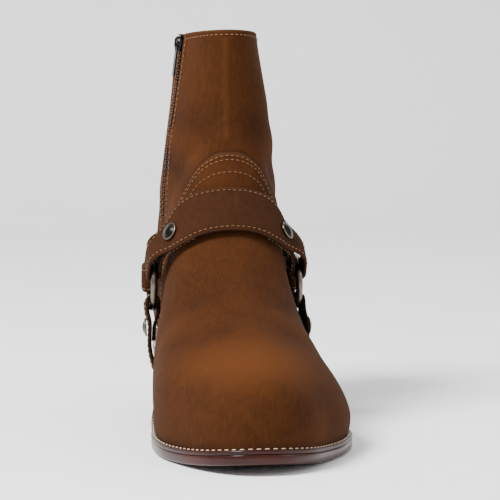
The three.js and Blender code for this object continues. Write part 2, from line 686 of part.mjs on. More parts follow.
// Where the side straps meet the welt.
function sideStrapEnd() {
  let q = RING_WIDTH;
  const clears = (w) => {
    const edge = inPlane(SIDE_ANGLE, 0, q, w);
    return edge.z > soleTop(edge.y) + WELT + GAP;
  };
  while (clears(LOOP_WIDTH / 2) && clears(-LOOP_WIDTH / 2)) q += 0.25;
  return q - 1;
}

// Zip
const tapeTop = -WALL + ZIP_DEPTH;
const zipStart = zipFoot + 0.02;
const [stopStart, stopEnd] = [zipStart + 0.04, zipStart + 0.16];
const [teethStart, teethEnd] = [zipStart + 0.18, COLLAR - 0.1];
const stopRibbon = zipRibbon(ZIP_TEETH + 1, tapeTop + GAP, TEETH_RISE, stopStart, stopEnd);
const teethRibbon = zipRibbon(ZIP_TEETH, tapeTop + GAP, TEETH_RISE, teethStart, teethEnd);
add('zip_tape', zipRibbon(ZIP_TAPE - 2 * GAP, -WALL, tapeTop, zipStart, COLLAR), GUNMETAL, 0.8);
add('zip_stop', stopRibbon, GUNMETAL, 0.4, 1);
add('zip_teeth', teethRibbon, GUNMETAL, 0.4, 1);

// The slider at the top of the zip, its bridge, and the pull tab that hangs on the bridge, each modelled flat
// with x across the zip, y up it and z out.
const SLIDER_DEPTH = 1.4;
const BRIDGE = { half: 3.2, height: 2.5, opening: 2, room: 1.6, thickness: 1.6 };
const PULL_BAR = 1.1;
const PULL_EYE = 2.4;
const PULL_NECK = 4.7;
const pivotRise = SLIDER_DEPTH + BRIDGE.room / 2;
const seat = zipFrame(SLIDER_SHARE * COLLAR);
const seatLift = TEETH_RISE + GAP;
const sliderPlace = new THREE.Matrix4()
  .makeBasis(seat.across, seat.up, seat.out)
  .setPosition(seat.foot.clone().addScaledVector(seat.out, seatLift));

const flat = (points, depth, hole) => {
  const shape = new THREE.Shape(points.map(([x, y]) => new THREE.Vector2(x, y)));
  if (hole) shape.holes.push(new THREE.Path(hole.map(([x, y]) => new THREE.Vector2(x, y))));
  return new THREE.ExtrudeGeometry(shape, { depth, bevelEnabled: false });
};
const [sliderHalf, sliderEnd] = [SLIDER_WIDTH / 2, SLIDER_LENGTH / 2];
const sliderOutline = [
  [-0.6 * sliderHalf, -sliderEnd], [0.6 * sliderHalf, -sliderEnd], [sliderHalf, 0.2 * sliderEnd],
  [0.8 * sliderHalf, sliderEnd], [-0.8 * sliderHalf, sliderEnd], [-sliderHalf, 0.2 * sliderEnd],
];
const sliderPlate = flat(sliderOutline, SLIDER_DEPTH);
const sunk = SLIDER_DEPTH / 2;
const arch = flat([[-BRIDGE.half, sunk], [-BRIDGE.half, SLIDER_DEPTH + 0.6 * BRIDGE.height],
  [-BRIDGE.opening, SLIDER_DEPTH + BRIDGE.height], [BRIDGE.opening, SLIDER_DEPTH + BRIDGE.height],
  [BRIDGE.half, SLIDER_DEPTH + 0.6 * BRIDGE.height], [BRIDGE.half, sunk], [BRIDGE.opening, sunk],
  [BRIDGE.opening, SLIDER_DEPTH + BRIDGE.room], [-BRIDGE.opening, SLIDER_DEPTH + BRIDGE.room],
  [-BRIDGE.opening, sunk]], BRIDGE.thickness);
arch.translate(0, 0, -BRIDGE.thickness / 2).rotateX(Math.PI / 2).rotateZ(Math.PI / 2);
const slider = toGeometry(solid(sliderPlate).add(solid(arch))).applyMatrix4(sliderPlace);
add('zip_slider', slider, GUNMETAL, 0.35, 1);

const [pullHalf, eyeHalf, barHalf] = [PULL_WIDTH / 2, PULL_EYE / 2, PULL_BAR / 2];
const pullOutline = [
  [-pullHalf, barHalf], [-pullHalf, -PULL_LENGTH], [pullHalf, -PULL_LENGTH], [pullHalf, barHalf],
];
const pullHole = [
  [-eyeHalf, -barHalf], [eyeHalf, -barHalf], [eyeHalf, -PULL_NECK], [-eyeHalf, -PULL_NECK],
];
const pull = flat(pullOutline, PULL_DEPTH, pullHole);
pull.translate(0, 0, pivotRise - PULL_DEPTH / 2).applyMatrix4(sliderPlace);
add('zip_pull', pull, GUNMETAL, 0.35, 1);

export default group;
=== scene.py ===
"""Looks of a left harness boot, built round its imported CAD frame.

Everything is worked out in millimetres and turned into metres as each mesh is made. The toe points to -Y, the
outer side of the foot is +X, and the middle of the heel's tread is the origin.
"""

import math

import bpy
import numpy as np
from bpy.props import FloatProperty, FloatVectorProperty, IntProperty, PointerProperty
from bpy.types import Operator, Panel, PropertyGroup
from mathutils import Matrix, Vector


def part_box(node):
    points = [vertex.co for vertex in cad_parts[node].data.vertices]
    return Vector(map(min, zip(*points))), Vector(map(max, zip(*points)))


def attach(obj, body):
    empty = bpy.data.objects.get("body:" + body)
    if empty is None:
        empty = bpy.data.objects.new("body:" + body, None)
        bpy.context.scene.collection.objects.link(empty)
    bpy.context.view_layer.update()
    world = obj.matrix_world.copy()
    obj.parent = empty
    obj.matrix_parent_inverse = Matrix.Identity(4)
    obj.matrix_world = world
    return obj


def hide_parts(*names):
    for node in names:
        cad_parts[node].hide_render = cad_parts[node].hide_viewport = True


bl_info = {
    "name": "Harness boot",
    "version": (1, 0, 0),
    "blender": (4, 5, 0),
    "location": "3D View > Sidebar > Boot",
    "description": "Builds the looks of a suede harness boot round its CAD frame",
    "category": "Object",
}

MM = 0.001

# Sizes of the CAD part, in millimetres.
SOLE_LENGTH = 300
HEEL_BACK = 38
BALL_WIDTH = 104
INSTEP_HEIGHT = 122
SHAFT_HEIGHT = 226
BACK_HEIGHT = 219.5
COLLAR_WIDTH = 46
WALL = 2
OVERLAY = 1.1
GAP = 0.3
UNDERCUT = 13
OUTSOLE = 5.4
WELT = 2.6
INSOLE = 2.5
WELT_REACH = 2
HEEL_HEIGHT = 36
TOP_PIECE = 7
LIFTS = 4
HEEL_TAPER = 4.5
BREAST = 30
SEAT_END = 39
TREAD_BACK = 138
TREAD_FRONT = 198
TOE_SPRING = 6.5
FEATHER = 12
RING_BACK = 75
RING_HEIGHT = 81
RING_WIDTH = 32
RING_WIRE = 4
STRAP = 2
LOOP_WIDTH = 15
REST = 0.8
RIVET_WIDTH = 10.5
RIVET_RISE = 2.4
ZIP_TAPE = 6
ZIP_FOOT_ROW = 12.9
ZIP_TURN = math.radians(-70)

# The upper's sections from the toe to the collar, in shares of the sizes above. Each is a plane across the
# boot from a point on its top and front line (top, rise) to a point on its bottom and back line (foot,
# back), with its half widths (outer, inner), its sway, the height share where it is widest and its
# fullness above that on the outer and inner side, and below it.
SECTIONS = np.array([
    (0.984, 0.197, 0.984, 0, 0, 0, -0.055, 0.58, 2, 2.2, 2.5),
    (0.979, 0.29, 0.979, 0, 0.105, 0.105, -0.054, 0.58, 2, 2.2, 2.6),
    (0.96, 0.35, 0.96, 0, 0.185, 0.19, -0.051, 0.53, 2, 2.2, 2.7),
    (0.925, 0.405, 0.925, 0, 0.268, 0.275, -0.046, 0.46, 1.95, 2.2, 2.7),
    (0.866, 0.459, 0.866, 0, 0.357, 0.366, -0.036, 0.4, 1.85, 2.25, 2.7),
    (0.786, 0.52, 0.786, 0, 0.465, 0.455, -0.02, 0.35, 1.6, 2.3, 2.7),
    (0.7, 0.594, 0.7, 0, 0.524, 0.49, -0.006, 0.32, 1.45, 2.35, 2.7),
    (0.623, 0.688, 0.613, 0, 0.485, 0.472, 0, 0.31, 1.5, 2.4, 2.7),
    (0.553, 0.8, 0.52, 0, 0.415, 0.448, 0, 0.31, 1.75, 2.4, 2.7),
    (0.497, 0.934, 0.42, 0, 0.355, 0.397, 0, 0.34, 2.05, 2.3, 2.6),
    (0.46, 1.077, 0.317, 0, 0.35, 0.372, 0, 0.36, 2.15, 2.2, 2.5),
    (0.438, 1.212, 0.213, 0, 0.378, 0.39, 0, 0.36, 2.2, 2.2, 2.5),
    (0.425, 1.337, 0.1, 0, 0.448, 0.425, 0, 0.34, 2.2, 2.2, 2.4),
    (0.417, 1.452, 0.008, 0, 0.476, 0.438, 0, 0.34, 2.2, 2.2, 2.15),
    (0.413, 1.558, 0.002, 0.186, 0.498, 0.46, 0, 0.4, 2.2, 2.2, 2.05),
    (0.411, 1.654, 0.006, 0.343, 0.51, 0.48, 0, 0.45, 2.2, 2.2, 2.05),
    (0.41, 1.75, 0.016, 0.532, 0.505, 0.478, 0, 0.48, 2.2, 2.2, 2.1),
    (0.41, 1.846, 0.014, 0.73, 0.494, 0.472, 0, 0.5, 2.2, 2.2, 2.15),
    (0.41, 1.933, 0.01, 0.887, 0.494, 0.474, 0, 0.5, 2.2, 2.2, 2.2),
    (0.41, 2, 0.01, 1, 0.5, 0.48, 0, 0.5, 2.2, 2.2, 2.2),
])
COLLAR = len(SECTIONS) - 1

# Seams in side view, as shares of the sole's length and of the instep's height.
VAMP_SEAM = ((0.425, 1.28), (0.385, 1.1), (0.362, 0.92), (0.343, 0.7), (0.325, 0.45), (0.31, 0.2))
ARCH_ROW = ((0.437, 1.197), (0.4167, 1.115), (0.405, 1.041), (0.4, 0.95))
COUNTER_SEAM = ((0.27, 0.2), (0.255, 0.45), (0.225, 0.66), (0.17, 0.8), (0.1, 0.87), (-0.1, 0.9))

# The harness straps in their planes through both rings: angle up from straight back, layers and eases.
INSTEP = dict(angle=math.radians(127), hem=43, rivet=35, rests=(1.8, 3), ease=3.4, wide=28,
              twist=math.radians(17), lean=0)
HEEL = dict(angle=math.radians(8), hem=39, rivet=31, rests=(0.8, 0.8), ease=1.4, wide=19, twist=0, lean=0)
SIDE = dict(angle=math.radians(-103), hem=33, rivet=26, rests=(5.5, 2.2), ease=3, wide=15, twist=0,
            lean=-0.08)


def smooth(f):
    """Smoothstep of f held to 0..1."""
    g = np.clip(f, 0, 1)
    return g * g * (3 - 2 * g)


def mix(a, b, f):
    return a + (b - a) * f


def hump(x, width):
    """A bell of height 1 whose standard width is width."""
    return np.exp(-0.5 * (x / width) ** 2)


def heelward(share):
    return HEEL_BACK - share * SOLE_LENGTH


def sole_top(y):
    """Height of the outsole's top: level at the heel seat, eased down through the waist, up again at the
    toe."""
    waist = smooth((y + TREAD_BACK) / (TREAD_BACK - SEAT_END))
    toe = np.maximum(-y - TREAD_FRONT, 0) / (SOLE_LENGTH - HEEL_BACK - TREAD_FRONT)
    return OUTSOLE + HEEL_HEIGHT * waist + TOE_SPRING * toe**2


def section_rows():
    """The table in millimetres, with one row more beyond the toe, mirrored, and one past the collar."""
    top, rise, foot, back, outer, inner, sway = SECTIONS.T[:7]
    shaft = np.maximum(rise - 1, 0)
    width = mix(BALL_WIDTH, COLLAR_WIDTH, shaft)
    top_z = np.minimum(rise, 1) * INSTEP_HEIGHT + shaft * (SHAFT_HEIGHT - INSTEP_HEIGHT)
    foot_z = mix(sole_top(heelward(foot)) - UNDERCUT, BACK_HEIGHT, back)
    foot_z[0] = top_z[0]
    sizes = [heelward(top), top_z, heelward(foot), foot_z, outer * width, inner * width, sway * width]
    rows = np.column_stack([*sizes, SECTIONS[:, 7:]])
    before = rows[1].copy()
    for column in (1, 3, 4, 5):
        before[column] = 2 * rows[0, column] - rows[1, column]
    past = 2 * rows[-1] - rows[-2]
    return np.vstack([before, rows, past])


ROWS = section_rows()


def section(u):
    """Columns of the section at u, counted in rows from the toe, on a Catmull-Rom curve through the table."""
    u = np.asarray(u, float)
    i = np.clip(np.floor(u).astype(int), 0, COLLAR - 1)
    f = (u - i)[..., None]
    a, b, c, d = (ROWS[i + k] for k in range(4))
    bend = (2 * a - 5 * b + 4 * c - d) * f**2 + (3 * b - a - 3 * c + d) * f**3
    return np.moveaxis(0.5 * (2 * b + (c - a) * f + bend), -1, 0)


def form(u, t):
    """The upper's outside. u runs from the toe to the collar, t round the section from its top over the outer
    side. Each half is a superellipse with its own fullness, standing on the line from the foot to the top."""
    u, t = np.broadcast_arrays(np.asarray(u, float), np.asarray(t, float))
    top_y, top_z, foot_y, foot_z, outer, inner, sway, widest, outer_crown, inner_crown, floor = section(u)
    up, out = np.cos(t), np.sin(t)
    power = np.where(up > 0, np.where(out > 0, outer_crown, inner_crown), floor)
    reach = (np.abs(up) ** power + np.abs(out) ** power) ** (-1 / power)
    share = widest + up * reach * np.where(up > 0, 1 - widest, widest)
    x = sway + out * reach * np.where(out > 0, outer, inner)
    return np.stack([x, mix(foot_y, top_y, share), mix(foot_z, top_z, share)], -1)


def unit(v):
    return v / np.maximum(np.linalg.norm(v, axis=-1, keepdims=True), 1e-9)


def normals(u, t):
    """Outward normals of the form, from its slopes along u and t."""
    step = 2e-3
    along = form(np.minimum(u + step, COLLAR), t) - form(np.maximum(u - step, 0), t)
    around = form(u, t + step) - form(u, t - step)
    return unit(np.cross(around, along))


def skin(u, t, lift):
    lift = np.asarray(lift, float)
    return form(u, t) + normals(u, t) * lift[..., None]


def skin_x(y, z, side):
    """Distance of the form from the middle plane at y and z on one side, 1 being the outer one. The section
    through the point is found by halving."""
    y, z = np.broadcast_arrays(np.asarray(y, float), np.asarray(z, float))
    low, high = np.full(y.shape, 0.01), np.full(y.shape, float(COLLAR))
    for _ in range(32):
        middle = (low + high) / 2
        s = section(middle)
        turn = (s[0] - s[2]) * (z - s[3]) - (s[1] - s[3]) * (y - s[2])
        low = np.where(turn < 0, middle, low)
        high = np.where(turn < 0, high, middle)
    s = section(low)
    across, rise = s[0] - s[2], s[1] - s[3]
    share = ((y - s[2]) * across + (z - s[3]) * rise) / (across**2 + rise**2)
    power = np.where(share > s[7], s[8] if side > 0 else s[9], s[10])
    off = np.abs((share - s[7]) / np.where(share > s[7], 1 - s[7], s[7]))
    half = s[4] if side > 0 else s[5]
    return s[6] * side + half * np.maximum(1 - off**power, 0) ** (1 / power)


def on_side(y, z, side, lift=0.0):
    """Points of the form at y and z on one side, moved out by a lift, and the normals there."""
    step = 0.2
    x = skin_x(y, z, side)
    slope_y = (skin_x(y + step, z, side) - skin_x(y - step, z, side)) / (2 * step)
    slope_z = (skin_x(y, z + step, side) - skin_x(y, z - step, side)) / (2 * step)
    normal = unit(np.stack([np.full(x.shape, float(side)), -slope_y, -slope_z], -1))
    return np.stack([side * x, y + 0 * x, z + 0 * x], -1) + normal * np.asarray(lift)[..., None], normal


def resample(points, spacing):
    """The points again, evenly spaced along their line, and how many times spacing fits into it."""
    steps = np.linalg.norm(np.diff(points, axis=0), axis=1)
    travelled = np.concatenate([[0], np.cumsum(steps)])
    count = max(int(travelled[-1] / spacing), 1)
    places = (np.arange(count) + 0.5) * travelled[-1] / count
    return np.column_stack([np.interp(places, travelled, points[:, k]) for k in range(points.shape[1])])


def seam_line(seam):
    shares, rises = np.array(seam).T
    return heelward(shares), rises * INSTEP_HEIGHT


def line_distance(y, z, seam):
    """Distance from a seam's line in side view."""
    ys, zs = seam_line(seam)
    best = np.full(np.shape(y), 1e9)
    for k in range(len(ys) - 1):
        dy, dz = ys[k + 1] - ys[k], zs[k + 1] - zs[k]
        f = np.clip(((y - ys[k]) * dy + (z - zs[k]) * dz) / (dy * dy + dz * dz), 0, 1)
        best = np.minimum(best, np.hypot(y - ys[k] - f * dy, z - zs[k] - f * dz))
    return best


def inside_vamp(y, z, seam=VAMP_SEAM):
    """Signed distance in side view into the vamp, which lies in front of its seam and below its top."""
    ys, zs = seam_line(seam)
    sign = np.where((z < zs[0]) & (y < np.interp(z, zs[::-1], ys[::-1])), 1, -1)
    return sign * np.minimum(line_distance(y, z, seam), np.where(y < ys[0], np.abs(z - zs[0]), 1e9))


def inside_counter(y, z):
    """Signed distance in side view into the heel counter, which lies behind and below its seam."""
    ys, zs = seam_line(COUNTER_SEAM)
    sign = np.where((y > ys[0]) & (z < np.interp(y, ys, zs)), 1, -1)
    return sign * line_distance(y, z, COUNTER_SEAM)


def zip_frame(u):
    """The zip's line on the inner side: points of the form there, across, up and out."""
    step = 0.01
    foot = form(u, ZIP_TURN)
    out = normals(u, ZIP_TURN)
    up = unit(form(np.minimum(u + step, COLLAR), ZIP_TURN) - form(u - step, ZIP_TURN))
    across = unit(np.cross(up, out))
    return foot, across, np.cross(out, across), out


def outline(reach, stations=240, front=None):
    """The sole's plan, from the sections' sides near their widest and moved out by reach: x and y of a loop
    from the heel's back over the outer side. With front, only what lies behind that y."""
    ends = [profile_end(1), profile_end(-1)]
    f = (1 - np.cos(np.pi * np.arange(stations + 1) / stations)) / 2
    y = mix(ends[0], ends[1], f)
    z = sole_top(y) + FEATHER
    outer = np.column_stack([skin_x(y, z, 1), y])
    inner = np.column_stack([-skin_x(y, z, -1), y])[1:-1][::-1]
    loop = np.vstack([outer, inner])
    along = unit(np.roll(loop, -1, 0) - np.roll(loop, 1, 0))
    moved = loop + np.asarray(reach) * np.column_stack([-along[:, 1], along[:, 0]])
    if front is None:
        return moved
    behind = loop[:, 1] >= front
    first, last = np.argmin(behind), len(loop) - np.argmin(behind[::-1])
    back = np.vstack([moved[last - 1:], moved[: first + 1]])
    back[[0, -1], 1] = front
    return back


def profile_end(end):
    """The y where the form ends at the feather line's height, at the heel (1) or the toe (-1)."""
    inside, outside = (0, HEEL_BACK + UNDERCUT) if end > 0 else (-TREAD_BACK, -SOLE_LENGTH)
    for _ in range(40):
        y = (inside + outside) / 2
        z = sole_top(y) + FEATHER
        if skin_x(y, z, 1) + skin_x(y, z, -1) > 1e-3:
            inside = y
        else:
            outside = y
    return inside


def in_plane(angle, x, q, w=0.0):
    """A point in a strap's plane: x, then q from the rings along the plane and w across it."""
    y = -RING_BACK + q * np.cos(angle) - w * np.sin(angle)
    z = RING_HEIGHT + q * np.sin(angle) + w * np.cos(angle)
    return np.stack(np.broadcast_arrays(x, y, z), -1)


RING_MIDDLE = (RING_WIDTH - RING_WIRE) / 2
RING_END = RING_WIDTH / 2 + GAP
WIRE_ROOM = RING_WIRE / 2 + GAP + STRAP / 2
FOLD = math.sqrt((RING_MIDDLE - RING_WIRE / 2) ** 2 - (LOOP_WIDTH / 2) ** 2) - GAP + WIRE_ROOM - STRAP / 2


def ring_x(side):
    standing = OVERLAY + REST + STRAP + GAP + RING_WIRE / 2
    at = RING_MIDDLE / 2
    return float(skin_x(-RING_BACK - at, RING_HEIGHT - at, side)) + standing


def off_skin(angle, side, q, lift):
    """Points x and q off the form in a strap's plane, moved out square to it by a lift."""
    step = 0.05

    def at(r):
        return skin_x(-RING_BACK + r * np.cos(angle), RING_HEIGHT + r * np.sin(angle), side)

    slope = (at(q) - at(q - step)) / step
    length = np.hypot(1, slope)
    return np.column_stack([at(q) + lift / length, q - lift * slope / length])


def lift_at(strap, side, q, offset, then):
    level = ring_x(side) + offset - off_skin(strap["angle"], side, q, np.zeros(len(q)))[:, 0]
    return mix(level, then, smooth((q - RING_END) / (strap["rivet"] - RING_END)))


def strap_far(strap):
    """How far a strap reaches from the rings: to the form's profile, or to the welt for a side strap."""
    angle = strap["angle"]
    if strap is not SIDE:
        inside, outside = 0.0, SOLE_LENGTH / 2
        for _ in range(40):
            q = (inside + outside) / 2
            y, z = -RING_BACK + q * math.cos(angle), RING_HEIGHT + q * math.sin(angle)
            if skin_x(y, z, 1) + skin_x(y, z, -1) > 1e-3:
                inside = q
            else:
                outside = q
        return inside
    q = np.arange(RING_WIDTH, RING_HEIGHT + RING_WIDTH, 0.25)
    edges = [in_plane(angle, 0, q, w) for w in (LOOP_WIDTH / 2, -LOOP_WIDTH / 2)]
    clear = np.all([edge[:, 2] > sole_top(edge[:, 1]) + WELT + GAP for edge in edges], axis=0)
    return q[np.argmin(clear)] - 1


def strap_half(strap, side, far):
    """Middle line of half a strap: the folded layer from its hem to the ring, the fold round the wire, and
    the outer layer on to the far point."""
    angle, hem = strap["angle"], strap["hem"]
    under = OVERLAY + strap["rests"][0 if side > 0 else 1] + STRAP / 2
    middle = ring_x(side)
    q = mix(hem, FOLD, np.linspace(0, 1, 16)[:-1])
    folded = off_skin(angle, side, q, lift_at(strap, side, q, -WIRE_ROOM, under))
    turn = np.linspace(0, np.pi, 15)
    fold = np.column_stack([middle - WIRE_ROOM * np.cos(turn), FOLD - WIRE_ROOM * np.sin(turn)])
    down = hem + STRAP
    q = np.concatenate([np.linspace(RING_END, down, 18), far * np.cos(np.arccos(down / far) * np.linspace(
        0.97, 0.03, 26))])
    over = lift_at(strap, side, q, WIRE_ROOM, under + STRAP + GAP)
    settled = smooth((q - hem - STRAP) / (far - hem))
    outer = off_skin(angle, side, q, mix(over, OVERLAY + STRAP / 2 + strap["ease"], settled))
    return np.vstack([folded, fold, outer]) * (side, 1)


def strap_path(strap, side=0):
    """Middle line of a whole strap in its plane, from hem to hem, or of a side strap from its hem to the
    welt."""
    far = strap_far(strap)
    if side:
        return strap_half(strap, side, far), far
    turn = [[0, far + OVERLAY + STRAP / 2 + strap["ease"]]]
    return np.vstack([strap_half(strap, 1, far), turn, strap_half(strap, -1, far)[::-1]]), far


def strap_frame(strap, path, far):
    """Points along a strap with its directions across and out and its width at each point. Past its loop it
    widens, turns about the boot's width by its twist and leans with the upper's side."""
    q = path[:, 1]
    past = smooth((q - strap["hem"] / 2) / (far - strap["hem"] / 2))
    points = in_plane(strap["angle"], path[:, 0], q)
    along = unit(np.gradient(points, axis=0))
    turned = strap["angle"] + strap["twist"] * past
    lean = np.sign(path[:, 0]) * strap["lean"] * smooth((q - RING_END / 2) / RING_END)
    across = np.column_stack([lean, -np.sin(turned), np.cos(turned)])
    across = unit(across - along * np.sum(across * along, 1, keepdims=True))
    out = np.cross(along, across)
    return points, across, out, mix(LOOP_WIDTH, strap["wide"], past)


def linear(code):
    """A colour written as six hex digits, from sRGB to Blender's linear values."""
    values = np.array([int(code[i: i + 2], 16) for i in (0, 2, 4)]) / 255
    low, high = values / 12.92, ((values + 0.055) / 1.055) ** 2.4
    return tuple(float(v) for v in np.where(values <= 0.04045, low, high))


def grid_mesh(name, points, wrap=True, attributes=None, close=()):
    """An object from rows of points. wrap joins each row's end to its start; close lists the ends (0, -1)
    that are shut by drawing the row in to its middle. attributes are named values, one to a point."""
    attributes = dict(attributes or {})
    for end in close:
        row = points[[end]]
        caps = row + (row.mean(1, keepdims=True) - row) * np.array([0.5, 1]).reshape(-1, 1, 1)
        order = caps[::-1] if end == 0 else caps
        stacked = [order, points] if end == 0 else [points, order]
        points = np.vstack(stacked)
        for key, value in attributes.items():
            edge = np.repeat(value[[end]], 2, 0)
            attributes[key] = np.vstack([edge, value] if end == 0 else [value, edge])
    rows, columns = points.shape[:2]
    index = np.arange(rows * columns).reshape(rows, columns)
    right = np.roll(index, -1, 1) if wrap else index[:, 1:]
    left = index if wrap else index[:, :-1]
    faces = np.stack([left[:-1], right[:-1], right[1:], left[1:]], -1).reshape(-1, 4)
    return solid_mesh(name, points.reshape(-1, 3), faces, attributes)


def solid_mesh(name, vertices, faces, attributes=None):
    mesh = bpy.data.meshes.new(name)
    mesh.from_pydata((np.asarray(vertices) * MM).tolist(), [], np.asarray(faces).tolist())
    for key, value in (attributes or {}).items():
        layer = mesh.attributes.new(key, "FLOAT", "POINT")
        layer.data.foreach_set("value", np.ascontiguousarray(value, np.float32).ravel())
    mesh.polygons.foreach_set("use_smooth", np.ones(len(mesh.polygons), bool))
    obj = bpy.data.objects.new(name, mesh)
    bpy.context.collection.objects.link(obj)
    return obj


def stitches(name, runs, length, thickness, gap, material):
    """Thread along runs of points with their normals: one small rounded bead for each stitch, drawn a little
    into the leather."""
    ring = 2 * np.pi * np.arange(6) / 6
    ends = np.linspace(-1, 1, 6)
    bead = np.stack([np.broadcast_to(ends[:, None], (6, 6)),
                     np.outer(np.sqrt(1 - 0.98 * ends**2), np.cos(ring)),
                     np.outer(np.sqrt(1 - 0.98 * ends**2), np.sin(ring))], -1)
    size = np.array([length / 2, thickness / 2, thickness / 2])
    grids = []
    for points, normal in runs:
        line = resample(np.column_stack([points, normal]), length + gap)
        middle, out = line[:, :3], unit(line[:, 3:])
        if len(middle) < 2:
            continue
        along = unit(np.gradient(middle, axis=0))
        across = unit(np.cross(out, along))
        frame = np.stack([along, across, np.cross(along, across)], 1)
        grids.append(middle[:, None, None] + np.einsum("rck,nkj->nrcj", bead * size, frame))
    beads = np.concatenate(grids)
    count = len(beads)
    index = np.arange(36).reshape(6, 6)
    right = np.roll(index, -1, 1)
    faces = np.stack([index[:-1], right[:-1], right[1:], index[1:]], -1).reshape(-1, 4)
    faces = (faces[None] + 36 * np.arange(count)[:, None, None]).reshape(-1, 4)
    obj = solid_mesh(name, beads.reshape(-1, 3), faces)
    obj.data.materials.append(material)
    return obj


def place(obj, body, material=None, replaces=()):
    """Gives a piece its material, its body and the CAD nodes it stands for."""
    if material:
        obj.data.materials.clear()
        obj.data.materials.append(material)
    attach(obj, body)
    if replaces:
        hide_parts(*replaces)
    return obj


def node(tree, kind, inputs=None, **settings):
    """Adds a node with its settings. Each input takes a value or the socket that feeds it."""
    made = tree.nodes.new(kind)
    for key, value in settings.items():
        setattr(made, key, value)
    for key, value in (inputs or {}).items():
        if isinstance(value, bpy.types.NodeSocket):
            tree.links.new(value, made.inputs[key])
        else:
            made.inputs[key].default_value = value
    return made


def new_material(name):
    """An empty material, its node tree, its output and its object coordinates in millimetres."""
    material = bpy.data.materials.new(name)
    material.use_nodes = True
    tree = material.node_tree
    tree.nodes.clear()
    output = node(tree, "ShaderNodeOutputMaterial")
    place_of = node(tree, "ShaderNodeTexCoord").outputs["Object"]
    scaled = node(tree, "ShaderNodeVectorMath", {0: place_of, "Scale": 1 / MM}, operation="SCALE")
    return material, tree, output, scaled.outputs["Vector"]


def noise(tree, where, wavelength, detail=3.0, roughness=0.55, stretch=(1, 1, 1)):
    """Noise with a wavelength in millimetres, longer along an axis where stretch is over 1."""
    scale = tuple(1 / (wavelength * s) for s in stretch)
    spread = node(tree, "ShaderNodeVectorMath", {0: where, 1: scale}, operation="MULTIPLY")
    made = node(tree, "ShaderNodeTexNoise", {"Vector": spread.outputs["Vector"], "Scale": 1.0,
                                             "Detail": detail, "Roughness": roughness})
    return made.outputs["Fac"]


def ramp(tree, value, low, high, to_low=0.0, to_high=1.0):
    made = node(tree, "ShaderNodeMapRange", {"Value": value, "From Min": low, "From Max": high,
                                             "To Min": to_low, "To Max": to_high})
    return made.outputs["Result"]


def blended(tree, factor, a, b, kind="MIX"):
    """Colour a mixed with colour b by a factor. A colour is three values or a socket."""
    made = node(tree, "ShaderNodeMix", {0: factor}, data_type="RGBA", blend_type=kind)
    for slot_index, value in ((6, a), (7, b)):
        if isinstance(value, bpy.types.NodeSocket):
            tree.links.new(value, made.inputs[slot_index])
        else:
            made.inputs[slot_index].default_value = (*value, 1)
    return made.outputs[2]


def attribute(tree, name):
    return node(tree, "ShaderNodeAttribute", attribute_name=name).outputs["Fac"]


def bumped(tree, height, strength, distance, under=None):
    """Bump whose full height is distance in millimetres."""
    inputs = {"Height": height, "Strength": strength, "Distance": distance * MM}
    if under:
        inputs["Normal"] = under
    return node(tree, "ShaderNodeBump", inputs).outputs["Normal"]


def colour(label, code):
    return FloatVectorProperty(name=label, description=f"Colour of the {label.lower()}", subtype="COLOR",
                               size=3, min=0, max=1, default=linear(code))


def length(label, about, value, low=0.0):
    return FloatProperty(name=label, description=f"{about}, in millimetres", default=value, min=low)


class BootColours(PropertyGroup):
    suede_light: colour("Suede, brushed up", "47260d")
    suede_dark: colour("Suede, brushed down", "251206")
    # Colour of painted shade in the suede's seams, folds and recesses; the finest fibres take it too.
    suede_deep: colour("Suede in folds and seams", "120703")
    cut_edge: colour("Cut edges", "3f2818")
    strap_light: colour("Strap suede, light", "3c2110")
    strap_dark: colour("Strap suede, dark", "211107")
    thread: colour("Tan thread", "7c5533")
    welt_thread: colour("Welt thread", "cdb08f")
    welt: colour("Welt leather", "35130c")
    sole: colour("Burnished sole leather", "380e06")
    lift: colour("Heel leather", "40200f")
    lining: colour("Lining leather", "8a6240")
    rubber: colour("Heel rubber", "1b1715")
    nickel: colour("Nickel", "665e54")
    gunmetal: colour("Gunmetal", "232223")
    tape: colour("Zip tape", "1b110c")


class BootUpper(PropertyGroup):
    along: IntProperty(name="Rows", description="Rows of the upper from toe to collar", default=330, min=40)
    around: IntProperty(name="Columns", description="Points round each row", default=250, min=48)
    ridge: length("Front crease", "Height of the crease pressed down the shaft's front", 0.6)
    fold: length("Fold depth", "Depth of the ankle's soft folds", 1.0)
    waves: length("Waves", "Height of the leather's slow waves", 0.3)


class BootStitching(PropertyGroup):
    stitch: length("Stitch", "Length of an upper stitch", 2.1, 0.5)
    gap: length("Gap", "Gap between upper stitches", 1.0)
    thickness: length("Thread", "Thickness of the upper's thread", 0.55, 0.1)
    welt_stitch: length("Welt stitch", "Length of a welt stitch", 2.7, 0.5)
    welt_gap: length("Welt gap", "Gap between welt stitches", 1.6)


class BootStage(PropertyGroup):
    turn: FloatProperty(name="Turn", description="Turn of the camera's path about the boot", subtype="ANGLE",
                        default=math.radians(5.6))
    pan: FloatProperty(name="Pan", description="Turn of the camera towards the boot", subtype="ANGLE",
                       default=math.radians(2.72))
    tilt: FloatProperty(name="Tilt", description="Tilt of the camera down to the boot", subtype="ANGLE",
                        default=math.radians(4.84))
    aside: length("Aside", "Distance of the boot from the camera's middle line", 44.6)
    distance: length("Distance", "Distance from the camera to the heel", 1458.8)
    height: length("Height", "Height of the camera", 217)
    focal: FloatProperty(name="Focal length", description="In frame widths", default=4.80)
    key: FloatProperty(name="Key light", description="Power of the key light", default=95, unit="POWER")
    fill: FloatProperty(name="Fill light", description="Power of the fill light", default=9, unit="POWER")
    room: FloatProperty(name="Room light", description="Strength of the light from all round", default=0.8)


